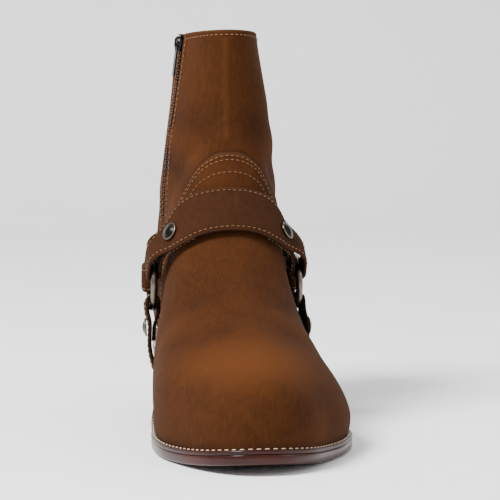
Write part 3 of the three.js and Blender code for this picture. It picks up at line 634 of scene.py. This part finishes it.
def suede_material(name, light, dark, deep, edge):
    """Brushed suede. Slow and middling noise turn the nap's colour from one brown to the other, fine noise
    and short streaks give the fibres, the finest of them in the shade colour; a painted highlight value
    lightens it, a painted shade value darkens it and the edge value bares it. The sheen gives the soft light
    rim that nap shows."""
    material, tree, output, where = new_material(name)
    slow = noise(tree, where, 34, 3)
    patches = noise(tree, where, 9, 4, 0.6)
    streaks = noise(tree, where, 1.6, 4, 0.7, (1, 2.5, 2.5))
    fibres = noise(tree, where, 0.45, 3, 0.7)
    nap = blended(tree, ramp(tree, slow, 0.25, 0.75, 0.35, 0.75), dark, light)
    nap = blended(tree, ramp(tree, patches, 0.35, 0.7, 0, 0.3), nap, dark)
    nap = blended(tree, ramp(tree, streaks, 0.42, 0.7, 0, 0.55), nap, light)
    nap = blended(tree, ramp(tree, fibres, 0.35, 0.7, 0, 0.3), nap, deep)
    # Painted highlight: lifts the nap past its lightest brown where the pieces mark it.
    nap = blended(tree, node(tree, "ShaderNodeMath", {0: attribute(tree, "worn"), 1: 0.75},
                             operation="MULTIPLY").outputs[0], nap,
                  tuple(1.5 * v for v in light))
    # Painted shade: darkens the nap towards the shade colour where the pieces mark it.
    nap = blended(tree, attribute(tree, "deep"), nap, deep)
    nap = blended(tree, attribute(tree, "edge"), nap, edge)
    relief = bumped(tree, patches, 0.35, 0.25)
    relief = bumped(tree, streaks, 0.6, 0.16, relief)
    relief = bumped(tree, fibres, 0.5, 0.08, relief)
    shader = node(tree, "ShaderNodeBsdfPrincipled", {
        "Base Color": nap, "Roughness": 0.92, "Specular IOR Level": 0.08, "Sheen Weight": 0.12,
        "Sheen Roughness": 0.45, "Sheen Tint": (*light, 1), "Normal": relief,
    })
    tree.links.new(shader.outputs[0], output.inputs["Surface"])
    return material


def leather_material(name, base, dark, gloss, grain=0.6, layers=0.0, coat=0.0):
    """Smooth leather: slow tone and fine grain, with level lines where it is stacked or skived (layers is
    their wavelength in millimetres), and a wax coat where it is burnished."""
    material, tree, output, where = new_material(name)
    tone = noise(tree, where, 22, 4)
    pores = noise(tree, where, grain, 4, 0.65)
    shade = blended(tree, ramp(tree, tone, 0.3, 0.7), dark, base)
    shade = blended(tree, ramp(tree, pores, 0.45, 0.75, 0, 0.35), shade, dark)
    relief = bumped(tree, pores, 0.25, 0.05)
    if layers:
        lines = noise(tree, where, layers, 3, 0.6, (30, 30, 1))
        shade = blended(tree, ramp(tree, lines, 0.4, 0.65, 0, 0.55), shade, dark)
        relief = bumped(tree, lines, 0.3, 0.1, relief)
    rough = ramp(tree, tone, 0.3, 0.7, gloss - 0.06, gloss + 0.08)
    shader = node(tree, "ShaderNodeBsdfPrincipled", {
        "Base Color": shade, "Roughness": rough, "Specular IOR Level": 0.16, "Coat Weight": coat,
        "Coat Roughness": 0.12, "Normal": relief,
    })
    tree.links.new(shader.outputs[0], output.inputs["Surface"])
    return material


def metal_material(name, base, rough):
    """Plated metal with fine scratches and a little tarnish in its roughness."""
    material, tree, output, where = new_material(name)
    scratch = noise(tree, where, 0.5, 4, 0.7, (6, 1, 1))
    tarnish = noise(tree, where, 4, 3)
    shade = blended(tree, ramp(tree, tarnish, 0.4, 0.75, 0, 0.45), base, tuple(0.45 * c for c in base))
    shade = blended(tree, attribute(tree, "dull"), shade, tuple(0.12 * c for c in base))
    shader = node(tree, "ShaderNodeBsdfPrincipled", {
        "Base Color": shade, "Metallic": 1.0, "Roughness": ramp(tree, scratch, 0.3, 0.7, rough, rough + 0.18),
        "Normal": bumped(tree, scratch, 0.15, 0.02),
    })
    tree.links.new(shader.outputs[0], output.inputs["Surface"])
    return material


def cloth_material(name, base, thread_width):
    """Woven or twisted thread: waves across it in relief, with painted shade in the hollows between them."""
    material, tree, output, where = new_material(name)
    settings = {"Vector": where, "Scale": 0.31 / thread_width, "Distortion": 0.6}
    waves = [node(tree, "ShaderNodeTexWave", settings, bands_direction=axis).outputs["Fac"]
             for axis in ("Y", "Z")]
    weave = node(tree, "ShaderNodeMath", {0: waves[0], 1: waves[1]}, operation="MULTIPLY").outputs[0]
    fuzz = noise(tree, where, 0.3, 3, 0.7)
    # Painted shade: the weave's hollows are darkened.
    shade = blended(tree, ramp(tree, weave, 0, 1, 0.45, 0), base, tuple(0.4 * c for c in base))
    shade = blended(tree, ramp(tree, fuzz, 0.4, 0.7, 0, 0.3), shade, tuple(0.55 * c for c in base))
    shader = node(tree, "ShaderNodeBsdfPrincipled", {
        "Base Color": shade, "Roughness": 0.8, "Specular IOR Level": 0.2, "Sheen Weight": 0.15,
        "Normal": bumped(tree, weave, 0.5, 0.1),
    })
    tree.links.new(shader.outputs[0], output.inputs["Surface"])
    return material


def materials():
    """The boot's materials by name, made once."""
    if "Brown suede" in bpy.data.materials:
        return bpy.data.materials
    c = {key: tuple(getattr(bpy.context.scene.boot_colours, key)) for key in BootColours.__annotations__}
    # Suede: a matt nap, lighter and darker as it is brushed, with a soft rim of light.
    suede_material("Brown suede", c["suede_light"], c["suede_dark"], c["suede_deep"], c["cut_edge"])
    suede_material("Strap suede", c["strap_light"], c["strap_dark"], c["suede_deep"], c["cut_edge"])
    dark = {key: tuple(0.45 * v for v in c[key]) for key in ("welt", "sole", "lift", "lining", "rubber")}
    # Waxed and burnished leather: dark red-brown with a low gloss, and level lines where it is stacked.
    leather_material("Welt leather", c["welt"], dark["welt"], 0.4, layers=0.8, coat=0.12)
    leather_material("Burnished sole leather", c["sole"], dark["sole"], 0.34, layers=1.4, coat=0.2)
    leather_material("Stacked heel leather", c["lift"], dark["lift"], 0.4, layers=1.1, coat=0.08)
    # Undyed lining leather is pale and matt, rubber black and dull.
    leather_material("Lining leather", c["lining"], tuple(0.6 * v for v in c["lining"]), 0.6, grain=0.9)
    leather_material("Heel rubber", c["rubber"], dark["rubber"], 0.65, grain=1.2)
    # Plated metal: bright where it is rubbed, tarnished in the hollows.
    metal_material("Brushed nickel", c["nickel"], 0.22)
    metal_material("Gunmetal", c["gunmetal"], 0.26)
    # Thread and tape: fine crossing ribs that take the shine off, with painted shade in their hollows.
    cloth_material("Tan thread", c["thread"], 0.5)
    cloth_material("Welt thread", c["welt_thread"], 0.6)
    cloth_material("Zip tape", c["tape"], 0.7)
    return bpy.data.materials


# Soft troughs (above 0) and ridges of the upper, in side view on both sides: their middle as y and z, length,
# turn in degrees from level, depth as a share of the fold depth, and width.
FOLDS = (
    (-74, 172, 44, 12, 0.55, 5.0),
    (-70, 158, 52, 18, -0.5, 5.5),
    (-66, 143, 56, 22, 0.7, 5.0),
    (-58, 128, 50, 30, -0.45, 6.0),
    (8, 150, 40, -14, 0.6, 5.5),
    (10, 133, 44, -10, -0.45, 6.0),
    (6, 118, 36, -16, 0.45, 5.0),
    (-150, 78, 46, -34, 0.4, 6.0),
    (-164, 66, 44, -30, -0.35, 6.5),
    (-178, 60, 40, -26, 0.3, 6.0),
)


def fold_depth(y, z):
    depth = np.zeros(np.shape(y))
    for fold_y, fold_z, span, turn, share, width in FOLDS:
        angle = math.radians(turn)
        dy, dz = y - fold_y, z - fold_z
        on = dy * math.cos(angle) + dz * math.sin(angle)
        off = -dy * math.sin(angle) + dz * math.cos(angle) + 0.004 * on**2
        depth += share * hump(off, width) * smooth((span / 2 + 10 - np.abs(on)) / 14)
    return depth


def zip_distance(points, u):
    """Distance across the zip's line, and far from it where the zip doesn't run."""
    foot, across, _, _ = zip_frame(np.maximum(u, 1.0))
    off = np.sum((points - foot) * across, -1)
    beside = (np.abs(off) > 30) | (points[..., 0] > -8) | (u < ZIP_FOOT_ROW)
    return np.where(beside, 99.0, off)


def upper_relief(look, bare, u):
    """How far the suede stands off the form at its points: overlays as steps, seams and folds as soft
    troughs, the pressed front crease, slow waves, and the zip's lips and opening. Also its parts, for the
    colours."""
    x, y, z = np.moveaxis(bare, -1, 0)
    vamp, counter = inside_vamp(y, z), inside_counter(y, z)
    step = OVERLAY * np.maximum(smooth(vamp / 1.0 + 0.5), smooth(counter / 1.0 + 0.5))
    pinch = hump(np.minimum(np.abs(vamp - 2.7), np.abs(counter - 2.7)), 1.4)
    front = hump(x + 1, 1.4) * smooth((z - 160) / 6) * smooth((224 - z) / 4) * (y < -60)
    low = smooth((z - sole_top(y) - 8) / 12)
    waves = (np.sin(x / 9 + y / 17 + 1) + np.sin(y / 11 - z / 13 + 2) + np.sin(z / 10 + x / 14)) / 3
    folds = fold_depth(y, z) * low * smooth((np.abs(x) - 4) / 14)
    lift = step - 0.2 * pinch + look.ridge * front - look.fold * folds + look.waves * waves * low
    off_zip = zip_distance(bare, u)
    lift += 0.45 * hump(np.abs(off_zip) - 4.6, 1.1) - 0.35 * hump(np.abs(off_zip) - 7.6, 1.0)
    lift = mix(lift, -1.7, smooth((ZIP_TAPE / 2 + 0.5 - np.abs(off_zip)) / 0.9))
    collar = smooth((SHAFT_HEIGHT - z) / 5)
    return mix(0.15, lift, collar), front, pinch, folds, off_zip


class BOOT_OT_upper(Operator):
    """Suede shell with its overlays, folds, front crease and zip opening, over a leather lining"""

    bl_idname = "boot.upper"
    bl_label = "Upper"

    def execute(self, context):
        look = context.scene.boot_upper
        dense = np.abs(np.linspace(-1, 1, 4001) * np.pi - ZIP_TURN) < math.radians(7)
        weight = np.cumsum(np.where(dense, 4.0, 1.0))
        angles = np.linspace(-1, 1, 4001) * np.pi
        t = np.interp((np.arange(look.around) + 0.5) / look.around * weight[-1], weight, angles)[None]
        u = np.concatenate([np.linspace(0, 3, 70)[:-1], np.linspace(3, COLLAR, look.along - 69)])[:, None]
        bare = form(np.maximum(u, 0.01), t)
        y, z = bare[..., 1], bare[..., 2]

        lift, front, pinch, folds, off_zip = upper_relief(look, bare, u)
        vamp, counter = inside_vamp(y, z), inside_counter(y, z)
        seam = np.minimum(np.abs(vamp), np.abs(counter))
        points = bare + normals(np.maximum(u, 0.01), t) * lift[..., None]
        points[0] = form(0, 0) + np.array([0, -OVERLAY, 0])
        points[..., 2] = np.maximum(points[..., 2], sole_top(points[..., 1]) + GAP)

        rim = [points]
        edge_lift = lift[-1]
        for angle in np.linspace(0.25, 1, 6) * np.pi:
            inward = edge_lift + (WALL + edge_lift) * (np.cos(angle) - 1) / 2
            up = (0.9 * np.sin(angle)) * np.array([0, 0, 1.0])
            rim.append((form(float(COLLAR), t) + normals(float(COLLAR), t) * inward[None, :, None] + up))
        grid = np.vstack(rim)
        cut = np.zeros(grid.shape[:2])
        cut[-7:] = 1
        edge = np.maximum(np.pad(0.75 * hump(seam, 0.55), ((0, 6), (0, 0))), 0.8 * cut)
        # Painted shade: darker in the grooves beside the vamp's and counter's edges, the ankle folds, the zip
        # opening, the corner above the welt and the trough inside each overlay's edge.
        deep = 0.5 * hump(vamp + 0.9, 0.8) + 0.4 * hump(counter + 0.9, 0.8)
        deep += 0.4 * np.clip(folds, 0, 1) + 0.6 * smooth((ZIP_TAPE / 2 + 1 - np.abs(off_zip)) / 0.8)
        deep += 0.45 * smooth((sole_top(y) + 9 - z) / 9) + 0.12 * pinch
        # Painted highlight: lighter along the pressed front crease, over the toe's top and on the zip's
        # raised lips, less in the folds.
        worn = 0.3 * front + 0.7 * hump((y + 230) / 24, 1) * smooth((z - 34) / 20) - 0.3 * folds
        worn += 0.4 * hump(np.abs(off_zip) - 5.2, 1.4)
        flat = {"edge": edge, "deep": np.pad(np.clip(deep, 0, 0.85), ((0, 6), (0, 0))),
                "worn": np.pad(np.clip(worn, 0, 1), ((0, 6), (0, 0)))}
        shell = grid_mesh("upper_suede", grid, attributes=flat)
        place(shell, "boot", materials()["Brown suede"], ["upper"])

        u_in = np.linspace(7.5, COLLAR, 90)[:, None]
        t_in = np.linspace(-np.pi, np.pi, 121)[None, :-1]
        inner = skin(u_in, t_in, np.full((90, 120), -WALL - 0.05))
        inner[..., 2] = np.maximum(inner[..., 2], sole_top(inner[..., 1]) + GAP + WALL)
        lining = grid_mesh("upper_lining", inner)
        place(lining, "boot", materials()["Lining leather"])
        return {"FINISHED"}


class BOOT_OT_upper_stitches(Operator):
    """Thread of the vamp's arch, the counter, the collar and the zip"""

    bl_idname = "boot.upper_stitches"
    bl_label = "Upper stitches"

    def execute(self, context):
        runs = []
        for inset in (1.1, 2.7):
            runs.append(self.arch(lambda y, z: inside_vamp(y, z) - inset, 2.3, 0))
        runs.append(self.arch(lambda y, z: inside_vamp(y, z, ARCH_ROW), 1.45, RING_HEIGHT + 12))
        t = np.linspace(-np.pi, np.pi, 500)
        u = COLLAR - 0.28
        runs.append((skin(u, t, np.full(t.shape, 0.25)), normals(u, t)))
        u = np.linspace(ZIP_FOOT_ROW + 0.1, COLLAR - 0.1, 200)
        foot, across, _, out = zip_frame(u)
        for side in (-1, 1):
            runs.append((foot + side * 7.4 * across + 0.15 * out, out))
        for side in (1, -1):
            for inset in (1.1, 2.7):
                ys, zs = seam_line(COUNTER_SEAM)
                y = np.interp(np.linspace(0, 1, 300), np.linspace(0, 1, len(ys)), ys)
                z = np.interp(y, ys, zs)
                slope = unit(np.column_stack([np.gradient(y), np.gradient(z)]))
                y, z = y + inset * slope[:, 1], z - inset * slope[:, 0]
                keep = (y < 24) & (z > sole_top(y) + 6)
                runs.append(on_side(y[keep], z[keep], side, OVERLAY + 0.05))
        look = context.scene.boot_stitching
        thread = stitches("upper_stitches", runs, look.stitch, look.thickness, look.gap,
                          materials()["Tan thread"])
        place(thread, "boot")
        return {"FINISHED"}

    def arch(self, signed, reach, lowest):
        """Points round the front where a side-view distance is nought, found by halving along each line of
        t."""
        t = np.linspace(-reach, reach, 700)
        low, high = np.full(t.shape, 7.5), np.full(t.shape, 17.0)
        for _ in range(26):
            u = (low + high) / 2
            at = form(u, t)
            inside = signed(at[:, 1], at[:, 2]) > 0
            low, high = np.where(inside, u, low), np.where(inside, high, u)
        lift = upper_relief(bpy.context.scene.boot_upper, form(low, t), low)[0]
        points = skin(low, t, lift + 0.1)
        keep = points[:, 2] > np.maximum(lowest, sole_top(points[:, 1]) + WELT + 2)
        return points[keep], normals(low, t)[keep]


def swept_edge(loop_at, profile):
    """Rows of a sole layer from its outline: each profile entry is reach, height above the sole's top and the
    share of the half width, 1 at the edge and 0 on the middle line."""
    rows = []
    for reach, height, share in profile:
        loop = loop_at(reach)
        middle = (loop[:, 0] + loop[np.r_[0, np.arange(len(loop) - 1, 0, -1)], 0]) / 2
        x = middle + (loop[:, 0] - middle) * share
        rows.append(np.column_stack([x, loop[:, 1], sole_top(loop[:, 1]) + height]))
    return np.array(rows)


class BOOT_OT_sole(Operator):
    """Welt with its lip and stitches, and the burnished outsole under it"""

    bl_idname = "boot.sole"
    bl_label = "Sole"

    def execute(self, context):
        edge = WELT_REACH
        welt = swept_edge(outline, [
            (-3.5, 0.1, 1), (-3.5, WELT + 0.5, 1), (edge - 2.2, WELT + 0.4, 1), (edge - 0.6, WELT - 0.1, 1),
            (edge - 0.1, WELT - 0.4, 1), (edge + 0.15, WELT - 0.9, 1), (edge + 0.15, 0.35, 1),
            (edge - 0.15, 0.1, 1), (edge - 0.6, 0, 1),
        ])
        lip = np.zeros(welt.shape[:2])
        lip[2:5] = 1
        strip = grid_mesh("welt_strip", welt, attributes={"edge": lip})
        place(strip, "boot", materials()["Welt leather"], ["welt"])

        low = -OUTSOLE
        sole = swept_edge(outline, [
            (edge - 4, 0.05, 1), (edge - 0.7, 0, 1), (edge - 0.2, -0.15, 1), (edge, -0.6, 1),
            (edge + 0.05, low / 2, 1), (edge, low + 1.4, 1), (edge - 0.35, low + 0.55, 1),
            (edge - 1.1, low + 0.08, 1), (edge - 2.4, low, 1), (edge - 2.4, low, 0.75),
            (edge - 2.4, low, 0.4), (edge - 2.4, low, 0.0),
        ])
        plate = grid_mesh("outsole_plate", sole)
        place(plate, "boot", materials()["Burnished sole leather"], ["outsole"])

        loop = outline(edge - 1.0)
        line = np.vstack([loop, loop[:1]])
        points = np.column_stack([line, sole_top(line[:, 1]) + WELT + 0.2])
        look = context.scene.boot_stitching
        up = np.broadcast_to([0.0, 0.0, 1.0], points.shape)
        thread = stitches("welt_stitches", [(points, up)], look.welt_stitch, 0.75, look.welt_gap,
                          materials()["Welt thread"])
        place(thread, "boot")
        return {"FINISHED"}


class BOOT_OT_heel(Operator):
    """Stacked leather heel on its rubber top piece, and the insole inside the boot"""

    bl_idname = "boot.heel"
    bl_label = "Heel and insole"

    def execute(self, context):
        heights = np.concatenate([[0], np.linspace(TOP_PIECE, HEEL_HEIGHT, LIFTS + 1)])
        for k in range(LIFTS + 1):
            low, high = heights[k], heights[k + 1]
            levels = [(low, 0.4), (low + 0.12, 0.12), (low + 0.45, 0), (mix(low, high, 0.5), -0.04),
                      (high - 0.45, 0), (high - 0.12, 0.1), (high, 0.35)]
            rows = [self.ring(z, inset) for z, inset in levels]
            name = "heel_rubber" if k == 0 else f"heel_leather_{k}"
            piece = grid_mesh(name, np.array(rows), close=(0, -1))
            if k == 0:
                place(piece, "boot", materials()["Heel rubber"], ["heel_top_piece"])
            else:
                place(piece, "boot", materials()["Stacked heel leather"], [f"heel_lift_{k}"])
        place(grid_mesh("insole_leather", self.insole(), close=(0, -1)), "boot",
              materials()["Lining leather"], ["insole"])
        return {"FINISHED"}

    def insole(self):
        """Rows across the insole from toe to heel. Each runs between the upper's walls on top, round its edge
        and back underneath, and the rows stand closer towards both ends, so that the ends are round."""
        y = np.linspace(-260, HEEL_BACK, 1200)
        ends = y[self.room(y).sum(0) > 3][[0, -1]] + (2 * WALL, -2 * WALL)
        y = ends.mean() - (ends[1] - ends[0]) / 2 * np.cos(np.linspace(0, np.pi, 140))
        outer, inner = self.room(y)
        share = np.sin(np.linspace(-np.pi / 2, np.pi / 2, 19))
        share = np.concatenate([share, share[::-1]])
        drop = np.concatenate([0.5 * share[:19] ** 8, INSOLE - 0.5 * share[19:] ** 8])
        x = mix(-inner[:, None], outer[:, None], (1 + share) / 2)
        z = sole_top(y) + 2 * GAP + WALL + INSOLE
        return np.stack([x, np.broadcast_to(y[:, None], x.shape), z[:, None] - drop + 0 * x], -1)

    def room(self, y):
        """Distances from the middle plane to the inside of the upper, level with the insole's top."""
        z = sole_top(y) + 2 * GAP + WALL + INSOLE
        return np.array([np.maximum(skin_x(y, z, side) - WALL - GAP, 0.3) for side in (1, -1)])

    def ring(self, z, inset):
        reach = WELT_REACH - HEEL_TAPER * (1 - z / HEEL_HEIGHT) - inset
        back = outline(reach, front=-BREAST)
        f = np.linspace(0, 1, 14)[1:-1, None]
        breast = mix(back[-1], back[0], f)
        breast[:, 1] = -BREAST + 1.2 * np.sin(np.pi * f[:, 0]) + inset
        loop = np.vstack([back, breast])
        return np.column_stack([loop, np.full(len(loop), z)])


class BOOT_OT_straps(Operator):
    """Harness straps folded round the rings, with pressed edges and two rows of stitches"""

    bl_idname = "boot.straps"
    bl_label = "Straps"

    def execute(self, context):
        runs = []
        pieces = [("instep_strap", INSTEP, 0), ("heel_strap", HEEL, 0),
                  ("side_strap_outer", SIDE, 1), ("side_strap_inner", SIDE, -1)]
        for name, strap, side in pieces:
            path, far = strap_path(strap, side)
            points, across, out, width = strap_frame(strap, path, far)
            middle = len(path) - 1 if side else len(path) // 2
            away = np.array([side, 0, 0]) if side else in_plane(strap["angle"], 0, 1) - in_plane(0, 0, 0)
            face = 1 if np.dot(out[middle], away) > 0 else -1
            folded = smooth((26 - np.arange(len(path))) / 8)
            if not side:
                folded = np.maximum(folded, folded[::-1])
            grid, edge, deep = self.section(points, across, out * face, width * (1 - 0.22 * folded))
            # Painted shade: the side straps are darkened all over, and each strap's loop round its ring a
            # little more.
            deep = np.clip(deep + (0.8 if side else 0) + 0.5 * folded[:, None], 0, 0.92)
            edge = edge * (0 if side else 0.6)
            shades = {"edge": edge, "deep": deep, "worn": 0 * deep}
            piece = grid_mesh(f"{name}_suede", grid, attributes=shades, close=(0, -1))
            place(piece, "boot", materials()["Strap suede"], [name])
            for w in (-1, 1):
                row = points + across * (w * (width / 2 - 2))[:, None] + out * face * (STRAP / 2 + 0.12)
                runs.append((row, out * face))
        look = context.scene.boot_stitching
        thread = stitches("strap_stitches", runs, look.stitch, look.thickness, look.gap,
                          materials()["Tan thread"])
        place(thread, "boot")
        return {"FINISHED"}

    def section(self, points, across, out, width):
        """Rows round each point: a flat band with round edges, crowned a little on its face and pressed in
        under its stitches. The edge value is 1 on its cut edges; painted shade darkens the pressed rows and
        the back."""
        f = np.linspace(-1, 1, 23)
        half = width[:, None] / 2
        pressed = 0.14 * hump((1 - np.abs(f)) * half - 2, 0.7)
        crown = 0.18 * (1 - f**2)
        corner = np.sqrt(np.clip(1 - (np.abs(f) - 1 + 0.6 / half).clip(0) ** 2 / (0.6 / half) ** 2, 0, 1))
        face = (STRAP / 2 - 0.45) + 0.45 * corner + crown - pressed
        back = -(STRAP / 2 - 0.45) - 0.45 * corner
        w = np.concatenate([f * half, (f * half)[:, ::-1]], 1)
        h = np.concatenate([face, back[:, ::-1]], 1)
        grid = points[:, None] + across[:, None] * w[..., None] + out[:, None] * h[..., None]
        edge = smooth((np.abs(w) - half + 0.55) / 0.4) * 0.75
        # Painted shade: a little in the pressed rows under the stitches, more over the whole back of the
        # band.
        deep = np.concatenate([pressed / 0.14 * 0.3, 0.6 + 0 * back], 1)
        return grid, edge, deep


class BOOT_OT_hardware(Operator):
    """Nickel rings and domed rivets"""

    bl_idname = "boot.hardware"
    bl_label = "Rings and rivets"

    def execute(self, context):
        nickel = materials()["Brushed nickel"]
        for place_name in ("outer", "inner"):
            low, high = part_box(f"ring_{place_name}")
            centre = (np.array(low) + np.array(high)) / 2 / MM
            big = np.linspace(0, 2 * np.pi, 97)[:-1, None]
            small = np.linspace(0, 2 * np.pi, 25)[None, :-1]
            out = RING_MIDDLE + RING_WIRE / 2 * np.cos(small)
            x = centre[0] + RING_WIRE / 2 * np.sin(small) + 0 * big
            grid = np.stack([x, centre[1] + out * np.cos(big), centre[2] + out * np.sin(big)], -1)
            ring = grid_mesh(f"ring_{place_name}_nickel", np.vstack([grid, grid[:1]]))
            place(ring, f"{place_name}_ring", nickel, [f"ring_{place_name}"])
            for strap in ("instep", "heel", "side"):
                self.rivet(f"rivet_{strap}_{place_name}", nickel)
        return {"FINISHED"}

    def rivet(self, name, material):
        """A domed head with a rolled rim on its CAD node's place, whose thin direction is the axis."""
        vertices = np.array([v.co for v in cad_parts[name].data.vertices]) / MM
        centre = (vertices.min(0) + vertices.max(0)) / 2
        _, axes = np.linalg.eigh(np.cov((vertices - vertices.mean(0)).T))
        axis = axes[:, 0] * np.sign(axes[0, 0] * centre[0])
        base = vertices.mean(0) + axis * (np.min((vertices - vertices.mean(0)) @ axis))
        r = RIVET_WIDTH / 2
        profile = np.array([(0.2, 0), (0.9, 0), (1, 0.12), (1, 0.3), (0.96, 0.42), (0.86, 0.46), (0.8, 0.45),
                            (0.72, 0.55), (0.55, 0.75), (0.35, 0.9), (0.15, 0.98), (0, 1)])
        turn = np.linspace(0, 2 * np.pi, 49)[None, :-1, None]
        side = unit(np.cross(axis, [0, 0, 1.0]))
        rim = r * profile[:, 0][:, None, None] * (np.cos(turn) * side + np.sin(turn) * np.cross(axis, side))
        grid = base + rim + axis * (RIVET_RISE * profile[:, 1])[:, None, None]
        dull = np.broadcast_to(smooth((0.84 - profile[:, :1]) / 0.03), grid.shape[:2])
        head = grid_mesh(f"{name}_nickel", grid, attributes={"dull": dull})
        place(head, "boot", material, [name])


class BOOT_OT_zip(Operator):
    """Zip teeth, and the bevelled slider, stop and pull tab on their CAD shapes"""

    bl_idname = "boot.zip"
    bl_label = "Zip"

    def execute(self, context):
        gunmetal = materials()["Gunmetal"]
        pitch = 1.7
        start, end = ZIP_FOOT_ROW + 0.2, COLLAR - 0.1
        u = np.linspace(start, end, 600)
        line = resample(np.column_stack([zip_frame(u)[0], u]), pitch)
        foot, across, up, out = zip_frame(line[:, 3])
        corners = np.array([(a, b, c) for c in (-0.45, 0.62) for a, b in
                            ((-0.45, -0.3), (1.4, -0.45), (1.4, 0.45), (-0.45, 0.3))])
        hand = np.where(np.arange(len(foot)) % 2, 1, -1)[:, None, None]
        blocks = foot[:, None] + corners[None, :, :1] * hand * across[:, None]
        blocks = blocks + corners[None, :, 1:2] * hand * up[:, None] + corners[None, :, 2:] * out[:, None]
        quads = np.array([(0, 1, 5, 4), (1, 2, 6, 5), (2, 3, 7, 6), (3, 0, 4, 7), (4, 5, 6, 7), (3, 2, 1, 0)])
        faces = (8 * np.arange(len(foot))[:, None, None] + quads).reshape(-1, 4)
        teeth = solid_mesh("zip_teeth_metal", blocks.reshape(-1, 3), faces.tolist())
        place(teeth, "boot", gunmetal, ["zip_teeth"])
        for name, body in (("zip_slider", "boot"), ("zip_pull", "pull_tab"), ("zip_stop", "boot")):
            self.bevelled(name, body, gunmetal)
        self.bevelled("zip_tape", "boot", materials()["Zip tape"])
        return {"FINISHED"}

    def bevelled(self, name, body, material):
        """A copy of a CAD node with its edges rounded, which stands for it."""
        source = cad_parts[name]
        obj = bpy.data.objects.new(f"{name}_metal", source.data.copy())
        bpy.context.collection.objects.link(obj)
        weld = obj.modifiers.new("Weld", "WELD")
        weld.merge_threshold = 0.00001
        bevel = obj.modifiers.new("Bevel", "BEVEL")
        bevel.width = 0.00025
        bevel.segments = 3
        bevel.limit_method = "ANGLE"
        bevel.angle_limit = math.radians(35)
        graph = bpy.context.evaluated_depsgraph_get()
        mesh = bpy.data.meshes.new_from_object(obj.evaluated_get(graph))
        obj.modifiers.clear()
        obj.data = mesh
        place(obj, body, material, [name])


class BOOT_OT_stage(Operator):
    """Pale floor, soft studio lights and the camera at the photograph's angle"""

    bl_idname = "boot.stage"
    bl_label = "Stage"

    def execute(self, context):
        look = context.scene.boot_stage
        sine, cosine = math.sin(look.turn), math.cos(look.turn)
        x = (-look.aside * cosine - look.distance * sine) * MM
        y = (look.aside * sine - look.distance * cosine) * MM
        lens = bpy.data.cameras.new("Camera")
        lens.sensor_width = 36
        lens.lens = look.focal * 36
        lens.clip_end = 20
        camera = bpy.data.objects.new("Camera", lens)
        camera.location = (x, y, look.height * MM)
        camera.rotation_euler = (math.pi / 2 - look.tilt, 0, -look.turn - look.pan)
        context.collection.objects.link(camera)
        context.scene.camera = camera

        f = np.linspace(0, 1, 60)[:, None]
        depth = mix(-2600, 2600, f)
        wall = 1200 * smooth((depth - 1300) / 1300) ** 1.4 - 0.4
        across = np.array([[-3500, 3500]])
        floor = np.stack(np.broadcast_arrays(across, depth, wall), -1)
        sheet = grid_mesh("floor", floor, wrap=False)
        paper, tree, output, where = new_material("Pale paper")
        tone = blended(tree, ramp(tree, noise(tree, where, 90, 2), 0.3, 0.7), (0.92, 0.92, 0.92),
                       (0.95, 0.95, 0.95))
        shader = node(tree, "ShaderNodeBsdfPrincipled", {"Base Color": tone, "Roughness": 0.9})
        tree.links.new(shader.outputs[0], output.inputs["Surface"])
        sheet.data.materials.append(paper)

        self.light("Key", (-1050, -700, 1650), look.key, 700)
        self.light("Fill", (1300, -900, 700), look.fill, 1000)
        self.light("Back", (300, 1200, 1400), look.fill, 1000)
        world = bpy.data.worlds.new("Room")
        world.use_nodes = True
        world.node_tree.nodes["Background"].inputs["Color"].default_value = (1, 1, 1, 1)
        world.node_tree.nodes["Background"].inputs["Strength"].default_value = look.room
        context.scene.world = world
        return {"FINISHED"}

    def light(self, name, at, power, size):
        lamp = bpy.data.lights.new(name, "AREA")
        lamp.energy = power
        lamp.size = size * MM
        obj = bpy.data.objects.new(name, lamp)
        obj.location = tuple(c * MM for c in at)
        aim = np.array([0, -100, 90]) - np.array(at)
        flat = math.hypot(aim[0], aim[1])
        obj.rotation_euler = (math.pi / 2 + math.atan2(aim[2], flat), 0, math.atan2(-aim[0], aim[1]))
        bpy.context.collection.objects.link(obj)


class BOOT_PT_panel(Panel):
    """Sizes, colours and lights of the boot"""

    bl_idname = "BOOT_PT_panel"
    bl_label = "Harness boot"
    bl_space_type = "VIEW_3D"
    bl_region_type = "UI"
    bl_category = "Boot"

    def draw(self, context):
        for group, settings in SETTINGS.items():
            box = self.layout.box()
            for key in settings.__annotations__:
                box.prop(getattr(context.scene, group), key)
        for operator in OPERATORS:
            self.layout.operator(operator.bl_idname)


SETTINGS = {"boot_colours": BootColours, "boot_upper": BootUpper, "boot_stitching": BootStitching,
            "boot_stage": BootStage}
OPERATORS = (BOOT_OT_upper, BOOT_OT_upper_stitches, BOOT_OT_sole, BOOT_OT_heel, BOOT_OT_straps,
             BOOT_OT_hardware, BOOT_OT_zip, BOOT_OT_stage)


def register():
    for group, settings in SETTINGS.items():
        bpy.utils.register_class(settings)
        setattr(bpy.types.Scene, group, PointerProperty(type=settings))
    for made in (*OPERATORS, BOOT_PT_panel):
        bpy.utils.register_class(made)


def unregister():
    for made in (BOOT_PT_panel, *reversed(OPERATORS)):
        bpy.utils.unregister_class(made)
    for group, settings in SETTINGS.items():
        delattr(bpy.types.Scene, group)
        bpy.utils.unregister_class(settings)


def corners(box):
    return [[float(v) for v in corner] for corner in box]


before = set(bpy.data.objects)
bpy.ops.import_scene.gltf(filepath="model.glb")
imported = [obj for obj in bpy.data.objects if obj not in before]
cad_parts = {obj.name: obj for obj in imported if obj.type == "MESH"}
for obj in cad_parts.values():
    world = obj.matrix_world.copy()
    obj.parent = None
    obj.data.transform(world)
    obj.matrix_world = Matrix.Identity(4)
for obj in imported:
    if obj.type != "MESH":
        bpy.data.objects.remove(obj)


def main():
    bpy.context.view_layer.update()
    register()
    for operator in OPERATORS:
        group, name = operator.bl_idname.split(".")
        getattr(getattr(bpy.ops, group), name)()
    bpy.context.view_layer.update()


if __name__ == "__main__":
    main()
